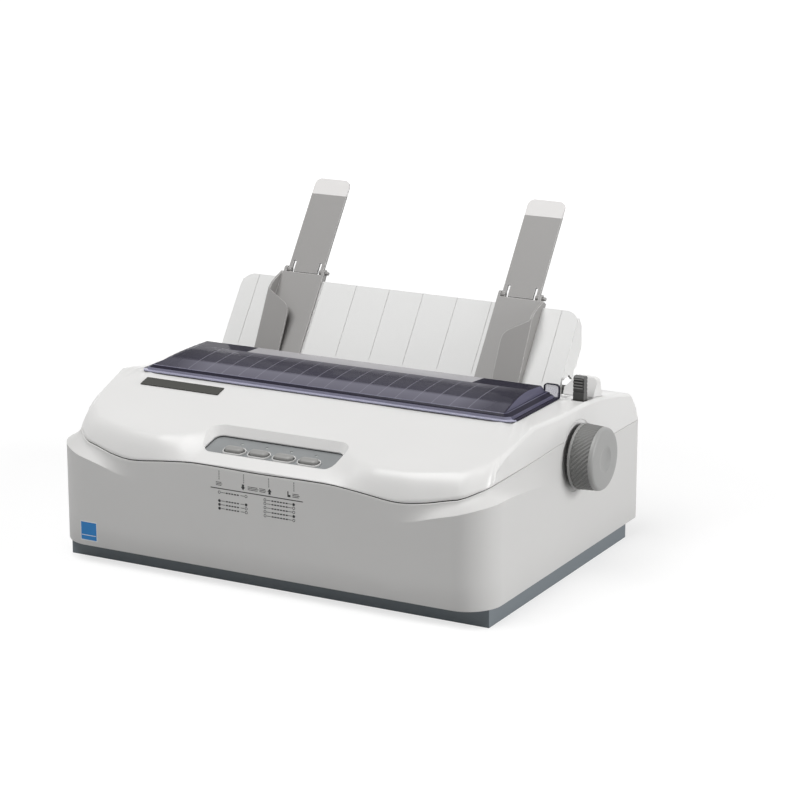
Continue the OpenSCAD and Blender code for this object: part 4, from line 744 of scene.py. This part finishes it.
def smoked(name, colour, alpha, rough=0.05, gloss=0.25):
    """Tinted clear plastic, see-through by its alpha, with a thin polish over it."""
    finish, tree, skin = new_finish(name)
    skin.inputs["Roughness"].default_value = 0.4
    skin.inputs["Specular IOR Level"].default_value = 0.0
    skin.inputs["Coat Weight"].default_value = gloss
    skin.inputs["Coat Roughness"].default_value = rough
    skin.inputs["Alpha"].default_value = alpha
    tinted(tree, skin, noise(tree, 20), colour, 0.04)
    grained(tree, skin, noise(tree, 60), 0.0001, 0.02, 0.3 * MM)
    return finish


def place_on(tree):
    """The place on the piece, as separate X, Y and Z in metres."""
    here, split = added(tree, "TexCoord", "SeparateXYZ")
    wired(tree, (here.outputs["Object"], split.inputs["Vector"]))
    return split.outputs


def sums(tree, way, first, second=None):
    """One arithmetic node on a value, with a number or another value."""
    node, = added(tree, "Math")
    node.operation = way
    wired(tree, (first, node.inputs[0]))
    if isinstance(second, float):
        node.inputs[1].default_value = second
    elif second is not None:
        wired(tree, (second, node.inputs[1]))
    return node.outputs["Value"]


def carried(tree, value, start, stop, low=0.0, high=1.0):
    """Carries a value over from one range to another, and holds it there past the ends."""
    node, = added(tree, "MapRange")
    for name, number in (("From Min", start), ("From Max", stop), ("To Min", low), ("To Max", high)):
        node.inputs[name].default_value = number
    wired(tree, (value, node.inputs["Value"]))
    return node.outputs["Result"]


def blend(tree, factor, first, second):
    """Mixes two colours, each a plain colour or a node's output."""
    mix, = added(tree, "Mix")
    mix.data_type = "RGBA"
    wired(tree, (factor, mix.inputs["Factor"]))
    for socket, colour in (("A", first), ("B", second)):
        if isinstance(colour, tuple):
            mix.inputs[socket].default_value = (*colour, 1)
        else:
            wired(tree, (colour, mix.inputs[socket]))
    return mix.outputs["Result"]


COVER_HALF_W, RIM_Z, DOME_FRONT = 176.0, TOP_Z + 0.2, COVER_FRONT + 6.7
RIDGE_Y, RIDGE_UP, REAR_UP = 12.0, 10.6, 9.7
RIB_PITCH, RIB_COUNT, RIB_HALF_T = 16.5, 17, 0.4

# The domed sheet carries a painted reflection: dark over its upper half, lighter along the front,
# a painted highlight at the ridge, and a pale hairline where each thin rib is moulded under it
smoke_sheet = smoked("smoked_sheet", (0.1, 0.1, 0.13), 0.74, 0.06, 0.15)
tree = smoke_sheet.node_tree
where = place_on(tree)
depth, = added(tree, "ValToRGB")
wired(tree, (carried(tree, where["Y"], DOME_FRONT * MM, RIDGE_Y * MM), depth.inputs["Fac"]))
# Place up the dome, 0 at its foot and 1 at the ridge, and the painted reflection's tone there
reflection_tints = ((0.0, (0.19, 0.185, 0.235)), (0.29, (0.235, 0.23, 0.285)), (0.37, (0.075, 0.072, 0.10)),
         (0.74, (0.08, 0.077, 0.10)), (1.0, (0.22, 0.215, 0.245)))
while len(depth.color_ramp.elements) < len(reflection_tints):
    depth.color_ramp.elements.new(0.5)
for stop, (at, colour) in zip(depth.color_ramp.elements, reflection_tints):
    stop.position, stop.color = at, (*colour, 1)
off = sums(tree, "ABSOLUTE", where["X"])
# Darker towards the two ends
ends = carried(tree, off, 118 * MM, 150 * MM, high=0.6)
painted_reflection = blend(tree, ends, depth.outputs["Color"], (0.03, 0.028, 0.045))
step = sums(tree, "FRACT", sums(tree, "ADD", sums(tree, "DIVIDE", off, RIB_PITCH * MM), 0.5))
from_rib = sums(tree, "ABSOLUTE", sums(tree, "SUBTRACT", step, 0.5))
on_rib = sums(tree, "LESS_THAN", from_rib, RIB_HALF_T / RIB_PITCH)
inside_run = sums(tree, "LESS_THAN", off, RIB_COUNT / 2 * RIB_PITCH * MM)
ribbed = sums(tree, "MULTIPLY", sums(tree, "MULTIPLY", on_rib, inside_run), 0.5)
wired(tree, (blend(tree, ribbed, painted_reflection, (0.40, 0.39, 0.46)),
             tree.nodes["Principled BSDF"].inputs["Base Color"]))

# A dark tone for thick plastic, also used as painted shade; painted highlights for the rim's bright lines; the
# thin lip, partly the white casing seen through it and partly painted light; the ends' darker tone; and the flat
# behind the ridge, painted pale as light falls on it
smoke_thick_and_shade = smoked("smoked_thick_and_shade", (0.028, 0.026, 0.042), 0.94, 0.1, 0.15)
smoke_painted_highlight = smoked("smoked_painted_highlight", (0.25, 0.245, 0.33), 0.85, 0.15, 0.3)
smoke_lip_painted_light = smoked("smoked_lip_painted_light", (0.64, 0.64, 0.82), 0.65, 0.15, 0.5)
smoke_end = smoked("smoked_end", (0.13, 0.125, 0.19), 0.75, 0.1, 0.25)
smoke_crown_painted_light = smoked("smoked_crown_painted_light", (0.56, 0.55, 0.57), 0.8, 0.2, 0.15)


def banded(piece, around, finishes, bands):
    """Gives each band between two loops of a stack its own finish, by number."""
    piece.data.materials.clear()
    for finish in finishes:
        piece.data.materials.append(finish)
    for face in piece.data.polygons:
        band = face.index // around
        face.material_index = bands[band] if band < len(bands) else bands[-1]


STRAIGHT_POINTS, REAR_R = 30, 0.8


def level_line(up, front, side, rear, r):
    """One level line of the cover, a rectangle in plan with round front corners."""
    loop = []
    corners = ((1, 1, rear, REAR_R), (-1, 1, rear, REAR_R), (-1, -1, front, r), (1, -1, front, r))
    for k, (sx, sy, y, q) in enumerate(corners):
        q = min(q, (rear - front) / 2 - 0.05)
        for a in np.radians(np.linspace(k * 90, k * 90 + 90, 11)):
            loop.append((sx * (side - q) + q * math.cos(a), y - sy * q + q * math.sin(a), RIM_Z + up))
        if k in (0, 2):
            loop += [(sx * (side - q) * (1 - 2 * t), y, RIM_Z + up)
                     for t in np.linspace(0, 1, STRAIGHT_POINTS + 2)[1:-1]]
    return loop


# Height, distance in from the edge and finish of each step of the rim, from the casing up; the finishes lay
# painted highlights and dark bands along the rim
SHEET, THICK_AND_SHADE, PAINTED_HIGHLIGHT, LIP, END, CROWN_FLAT = range(6)
RIM_STEPS = ((0.0, 0.0, LIP), (0.9, 0.0, LIP), (1.25, 0.35, LIP), (1.35, 2.0, PAINTED_HIGHLIGHT), (3.0, 2.6, PAINTED_HIGHLIGHT),
             (3.2, 3.0, THICK_AND_SHADE), (4.2, 4.6, THICK_AND_SHADE), (5.2, 5.3, PAINTED_HIGHLIGHT), (5.5, 5.7, PAINTED_HIGHLIGHT), (5.5, 6.0, THICK_AND_SHADE),
             (4.9, 6.6, THICK_AND_SHADE))
RIM_UP = RIM_STEPS[-1][0]
lines, bands = [], []
for k, (up, inset, band) in enumerate(RIM_STEPS):
    lines.append(level_line(up, COVER_FRONT + inset, COVER_HALF_W - inset * 1.7, COVER_REAR - 0.08 * k,
                            max(3.2, 9 - inset)))
    bands.append(band)
for t in np.linspace(0.02, 0.995, 26) ** 1.15:
    rise = 1 - (1 - t) ** 2.2
    up = RIM_UP + (RIDGE_UP - RIM_UP) * rise
    rear = COVER_REAR - 1
    if up >= REAR_UP:
        rear -= (COVER_REAR - 1 - RIDGE_Y) * (up - REAR_UP) / (RIDGE_UP - REAR_UP)
    front = DOME_FRONT + (RIDGE_Y - DOME_FRONT) * t
    lines.append(level_line(up, front, COVER_HALF_W - 11.5 - 5 * rise**1.5, rear, 2.2))
    bands.append(SHEET)
# Height, front, half width and rear of each line of the hollow under the dome
HOLLOW = ((0.0, -41.5, 162.0, 30.0), (3.4, -41.5, 162.0, 30.0), (6.2, -27.0, 159.0, 30.0),
          (7.6, -12.0, 157.5, 29.8), (8.3, 4.0, 156.5, 24.0))
clear_cover = stack("clear_cover", lines[::-1] + [level_line(*line, 3) for line in HOLLOW], smoke_sheet, "cover")
banded(clear_cover, len(lines[0]), (smoke_sheet, smoke_thick_and_shade, smoke_painted_highlight, smoke_lip_painted_light, smoke_end, smoke_crown_painted_light),
       bands[::-1][1:] + [THICK_AND_SHADE] + [SHEET] * len(HOLLOW))
# At the sides the rim's painted highlights take the ends' darker tone and the lip the dark one. On the dome the
# faces that turn sideways are painted darker as shade, the flat behind the ridge is painted pale as light falls
# on it and the roof of the hollow, facing down, is painted dark as shade
FOLD_X, FLAT_HALF_W, ROOF_UP = COVER_HALF_W - 12, 112, 4.5
for face in clear_cover.data.polygons:
    x, y, z = (abs(face.center.x) / MM, face.center.y / MM, face.center.z / MM - RIM_Z)
    n = face.normal
    if face.material_index in (PAINTED_HIGHLIGHT, LIP) and x > FOLD_X and y > COVER_FRONT + 6:
        face.material_index = {PAINTED_HIGHLIGHT: END, LIP: THICK_AND_SHADE}[face.material_index]
    elif face.material_index == SHEET and z > ROOF_UP:
        if n.z < -0.3:
            face.material_index = THICK_AND_SHADE
        elif abs(n.x) > 0.55:
            face.material_index = END
        elif abs(n.x) > 0.12:
            face.material_index = THICK_AND_SHADE
        elif y > RIDGE_Y:
            face.material_index = CROWN_FLAT if x < FLAT_HALF_W else THICK_AND_SHADE
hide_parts("smoked_cover")

# Finger tab at the right-hand corner, a thin plate with a heavier rolled edge
TAB_X0, TAB_X1, TAB_FOOT, TAB_TOP = 163.2, 177.2, RIM_Z + 0.8, RIM_Z + 12.6


def tab_loop(inset, y):
    """The tab's outline in X and Z, that far in from its edge."""
    loop = []
    for sx, x, z, r, start in ((1, TAB_X1, TAB_FOOT, 0.6, -90), (1, TAB_X1, TAB_TOP, 3, 0),
                               (-1, TAB_X0, TAB_TOP, 3, 90), (-1, TAB_X0, TAB_FOOT, 0.6, 180)):
        sz = 1 if z == TAB_TOP else -1
        for a in np.radians(np.linspace(start, start + 90, 9)):
            q = max(0.3, r - inset)
            loop.append((x - sx * (inset + q) + q * math.cos(a), y, z - sz * (inset + q) + q * math.sin(a)))
    return loop


smoke_tab = smoked("smoked_thin_tab", (0.45, 0.43, 0.60), 0.25, 0.1)
TAB_LINES = [tab_loop(inset, y) for inset, y in
             ((0.9, 32.0), (0.7, 33.0), (0.0, 33.0), (0.0, 30.8), (0.7, 30.8), (0.9, 31.6))]
tab = stack("cover_tab", TAB_LINES, smoke_tab, "cover")
banded(tab, len(TAB_LINES[0]), (smoke_tab, smoke_thick_and_shade), [1, 1, 1, 1, 1, 0])

# Ears inside the opening, with the pins that the cover swings on
EAR_T, EAR_R, EAR_SLANT = 6, 3.4, 2.4
cover_ear = [(HINGE_Y - EAR_R, HINGE_Z), (HINGE_Y - EAR_SLANT, HINGE_Z - EAR_SLANT), (HINGE_Y, HINGE_Z - EAR_R),
             (HINGE_Y + EAR_SLANT, HINGE_Z - EAR_SLANT), (HINGE_Y + EAR_R, HINGE_Z), (HINGE_Y, RIM_Z + 5),
             (HINGE_Y - EAR_R, RIM_Z + 5)]
for side, x0, way in (("left", -OPEN_HALF_W + 0.2, -1), ("right", OPEN_HALF_W - EAR_T - 0.2, 1)):
    ear = stack(f"cover_ear_{side}", along_x(cover_ear, x0, x0 + EAR_T), smoke_thick_and_shade, "cover")
    pin_x = sorted((way * (OPEN_HALF_W - 1), way * (OPEN_HALF_W + 5)))
    pin = stack(f"cover_pin_{side}", along_x(disc(HINGE_Y, HINGE_Z, 2, 32), *pin_x), smoke_thick_and_shade, "cover")

# --------------------------------------------------
# Paper support, inner guide and lever guard
# White mouldings. The support leans back on two pins, with shallow grooves up its face and a
# stiffening cheek behind each end. The inner guide carries the sheet from it to the platen; it is painted a
# darker grey, as the shade under the cover.
# --------------------------------------------------
support_white = moulded("support_white", (0.80, 0.80, 0.79), rough=0.5, strength=0.1, spread=0.008, edge=0.4)
dress(support_white, "paper_support")
dress(shell_white, "lever_guard")
dress(moulded("guide_painted_shade", (0.30, 0.30, 0.31), rough=0.45), "paper_guide")

# --------------------------------------------------
# Paper guides and their extension flaps
# Warm grey mouldings. Each guide hooks over the support and slides along it, and its flap folds
# on two pins. The flaps are paler over their tips, and every edge carries a painted highlight.
# --------------------------------------------------
GUIDE_TONE, EDGE_HIGHLIGHT_TONE = (0.30, 0.292, 0.285), (0.74, 0.73, 0.72)


def painted_edge_highlight(tree, skin, colour, reach=0.95):
    """A painted highlight where two faces meet, as on a moulding whose corners catch the light."""
    rolled, facing, agree = added(tree, "Bevel", "NewGeometry", "VectorMath")
    rolled.samples = 6
    rolled.inputs["Radius"].default_value = reach * MM
    agree.operation = "DOT_PRODUCT"
    wired(tree, (rolled.outputs["Normal"], agree.inputs[0]), (facing.outputs["Normal"], agree.inputs[1]))
    edge = carried(tree, agree.outputs["Value"], 0.99, 0.90, high=0.75)
    wired(tree, (blend(tree, edge, colour, EDGE_HIGHLIGHT_TONE), skin.inputs["Base Color"]))


guide_grey = moulded("guide_grey", GUIDE_TONE, rough=0.42, strength=0.1, edge=0.5)
skin = guide_grey.node_tree.nodes["Principled BSDF"]
painted_edge_highlight(guide_grey.node_tree, skin, skin.inputs["Base Color"].links[0].from_socket)
dress(guide_grey, "left_paper_guide", "right_paper_guide")
flap_grey, tree, skin = new_finish("flap_grey_pale_tip")
skin.inputs["Roughness"].default_value = 0.45
grained(tree, skin, noise(tree, 900), 0.0001, 0.1, 0.4 * MM)
TIP_Z = 266.8
above = sums(tree, "GREATER_THAN", place_on(tree)["Z"], TIP_Z * MM)
painted_edge_highlight(tree, skin, blend(tree, above, GUIDE_TONE, (0.76, 0.745, 0.735)))
dress(flap_grey, "left_extension_flap", "right_extension_flap")

# --------------------------------------------------
# Release lever
# A near-black lever that comes up through a slot in the casing. Four grip lines run across its
# front, each a pale painted highlight with a painted dark shade for the groove over it.
# --------------------------------------------------
dress(moulded("lever_black", (0.045, 0.045, 0.043), rough=0.4, strength=0.1), "release_lever")
grip_painted_highlight = moulded("grip_painted_highlight", (0.24, 0.24, 0.23), rough=0.5, edge=0.05)
grip_painted_shade = moulded("grip_painted_shade", (0.008, 0.008, 0.008), rough=0.7, edge=0.05)
# Each line is a painted highlight and each groove a thin strip of painted shade
GRIPS, GRIP_Z, GRIP_PITCH, GRIP_T = 4, TOP_Z + 9.4, 2.45, 0.85
for k in range(GRIPS):
    foot = GRIP_Z + GRIP_PITCH * k
    for kind, low, high, finish in (("line", 0.0, GRIP_T, grip_painted_highlight), ("groove", GRIP_T, 1.6, grip_painted_shade)):
        bar_loops = along_x(block_on(38.9, 39.3, foot + low, foot + high), LEVER_X + 0.6, LEVER_X + LEVER_W - 1.2)
        line = stack(f"grip_{kind}_{k + 1}", bar_loops, finish, "paper_lever")

# --------------------------------------------------
# Platen knob
# A grey moulding pressed on the end of the platen's shaft. Fine slanting ribs run round its grip
# between a plain flange and a smooth rounded front, which has a shallow finger dimple.
# --------------------------------------------------
RIBS, RIB_DEEP, RIB_TWIST = 42, 0.8, 1.6
KNOB_X0, KNOB_X1 = HALF_W + 3.2, HALF_W + 24.9
HUB_X, HUB_R, HUB_FOOT = HALF_W + 1.8, 8.0, HALF_W - 14
GRIP_X0, GRIP_X1 = KNOB_X0 + 2.8, KNOB_X0 + 17.6
EDGE_R, DIMPLE_R, DIMPLE_DEEP = 2.8, 11, 1.9
AROUND = RIBS * 8


def knob_loop(x, r, ribbed=0.0):
    """One turn round the knob, cut in by its slanting ribs where it is ribbed."""
    loop = []
    for k in range(AROUND):
        a = 2 * math.pi * k / AROUND
        dip = 0.5 - 0.5 * math.cos(RIBS * a + RIB_TWIST * (x - KNOB_X0))
        q = r - ribbed * RIB_DEEP * dip
        loop.append((x, KNOB_Y + q * math.cos(a), SEAM_Z + q * math.sin(a)))
    return loop


def knob_r(x):
    """The knob is a little wider at its flange than at its front."""
    return KNOB_R + 0.6 - 1.3 * (x - KNOB_X0) / (KNOB_X1 - KNOB_X0)


# The hub band is painted black as the shadow in the gap against the casing, and the ribbed grip darker as the
# shade between its ribs
PLAIN, HUB_SHADE, GRIP_SHADE = range(3)
FLANGE = ((HUB_FOOT, 4.1), (HUB_FOOT, HUB_R), (HUB_X, HUB_R), (HUB_X, KNOB_R - 0.6), (KNOB_X0, KNOB_R - 0.6),
          (KNOB_X0, KNOB_R), (KNOB_X0 + 0.3, knob_r(KNOB_X0)), (KNOB_X0 + 2.4, knob_r(KNOB_X0)),
          (KNOB_X0 + 2.6, KNOB_R - 0.4))
loops = [knob_loop(x, r) for x, r in FLANGE]
bands = [HUB_SHADE] * 5 + [PLAIN] * 4
for x in np.linspace(GRIP_X0, GRIP_X1, 26):
    loops.append(knob_loop(x, knob_r(x), 1.0))
    bands.append(GRIP_SHADE)
loops.append(knob_loop(GRIP_X1 + 0.3, knob_r(GRIP_X1)))
bands.append(PLAIN)
loops += [knob_loop(KNOB_X1 - EDGE_R + EDGE_R * math.sin(a), knob_r(KNOB_X1) - EDGE_R + EDGE_R * math.cos(a))
          for a in np.linspace(0, math.pi / 2, 9)]
loops += [knob_loop(KNOB_X1, r) for r in (18, 11.2)]
loops += [knob_loop(KNOB_X1 - DIMPLE_DEEP * (1 - (r / DIMPLE_R) ** 3), r)
          for r in (DIMPLE_R, 10.3, 9.3, 8, 6.2, 4, 2, 0.3)]
# Painted shade: a darker grey over the ribbed grip and black over the hub behind the flange
knob_grey = moulded("knob_grey", (0.325, 0.325, 0.32), rough=0.42, strength=0.08, edge=0.2)
knob_grip_shade = moulded("knob_grip_painted_shade", (0.17, 0.17, 0.165), rough=0.5, strength=0.08, edge=0.1)
knob_hub_shade = moulded("knob_hub_painted_shade", (0.01, 0.01, 0.01), rough=0.7)
grip_knob = stack("platen_grip", loops, knob_grey, "platen")
banded(grip_knob, AROUND, (knob_grey, knob_hub_shade, knob_grip_shade), bands + [PLAIN])
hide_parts("platen_knob")

# --------------------------------------------------
# Studio
# A pale floor that carries on up behind as a white backdrop, one large soft lamp above the front,
# a smaller one at the right, a weak one behind and an even fill from the surroundings.
# --------------------------------------------------
stage_mesh = bpy.data.meshes.new("floor")
sweep = [(-6, 0), (2.2, 0), (3.2, 0.25), (3.9, 1.0), (4.1, 6)]
verts = [(x, y, z) for y, z in sweep for x in (-9, 9)]
stage_mesh.from_pydata(verts, [], [(2 * k, 2 * k + 1, 2 * k + 3, 2 * k + 2) for k in range(len(sweep) - 1)])
floor = into_scene("floor", stage_mesh)
stage_mesh.shade_smooth()
paper, tree, skin = new_finish("floor_white")
skin.inputs["Base Color"].default_value = (0.42, 0.42, 0.42, 1)
skin.inputs["Roughness"].default_value = 0.9


def seen_ray(tree):
    """1 for what the camera sees, straight, mirrored or through clear plastic."""
    path, = added(tree, "LightPath")
    last = path.outputs["Is Camera Ray"]
    for name in ("Is Glossy Ray", "Is Transmission Ray"):
        last = sums(tree, "MAXIMUM", last, path.outputs[name])
    return last


# Seen, the paper is white, and keeps a soft shadow under the printer
shaded, glow, spot, away, both, choose = added(
    tree, "BsdfDiffuse", "Emission", "TexCoord", "VectorMath", "AddShader", "MixShader")
shaded.inputs["Color"].default_value = (0.34, 0.34, 0.34, 1)
away.operation = "LENGTH"
wired(tree, (spot.outputs["Object"], away.inputs[0]),
      (carried(tree, away.outputs["Value"], 0.4, 1.6, 0.70, 1.0), glow.inputs["Strength"]),
      (shaded.outputs["BSDF"], both.inputs[0]), (glow.outputs["Emission"], both.inputs[1]),
      (seen_ray(tree), choose.inputs["Fac"]), (skin.outputs["BSDF"], choose.inputs[1]),
      (both.outputs["Shader"], choose.inputs[2]),
      (choose.outputs["Shader"], tree.nodes["Material Output"].inputs["Surface"]))
stage_mesh.materials.append(paper)

world = bpy.data.worlds.new("surroundings")
bpy.context.scene.world = world
world.use_nodes = True
tree = world.node_tree
tree.nodes.clear()
sky, seen, pick, out = added(tree, "Background", "Background", "MixShader", "OutputWorld")
for light, strength in ((sky, 0.16), (seen, 1.0)):
    light.inputs["Color"].default_value = (1, 1, 1, 1)
    light.inputs["Strength"].default_value = strength
wired(tree, (seen_ray(tree), pick.inputs["Fac"]), (sky.outputs["Background"], pick.inputs[1]),
      (seen.outputs["Background"], pick.inputs[2]), (pick.outputs["Shader"], out.inputs["Surface"]))


def softbox(name, place, aim, size, power):
    """A soft lamp of that size in metres and power in watts, turned to its aim."""
    light = bpy.data.lights.new(name, "AREA")
    light.shape = "RECTANGLE"
    light.size, light.size_y = size
    light.energy = power
    lamp = into_scene(name, light)
    lamp.location = place
    lamp.rotation_euler = (Vector(aim) - Vector(place)).to_track_quat("-Z", "Y").to_euler()


softbox("key", (-0.35, -0.85, 2.2), (0, 0, 0.12), (1.6, 1.6), 44)
softbox("side", (2.1, 0.22, 0.6), (0.2, 0, 0.1), (0.8, 0.8), 24.5)
softbox("back", (-1.5, 2.0, 0.5), (0, 0, 0.1), (1.4, 0.8), 7)

camera = into_scene("camera", bpy.data.cameras.new("camera"))
camera.data.lens = 120
camera.data.sensor_width = 36
camera.location = (1.0595, -1.8659, 0.7029)
camera.rotation_euler = (math.radians(74.97), 0, math.radians(28.48))
bpy.context.scene.camera = camera
bpy.context.scene.view_settings.view_transform = "Standard"
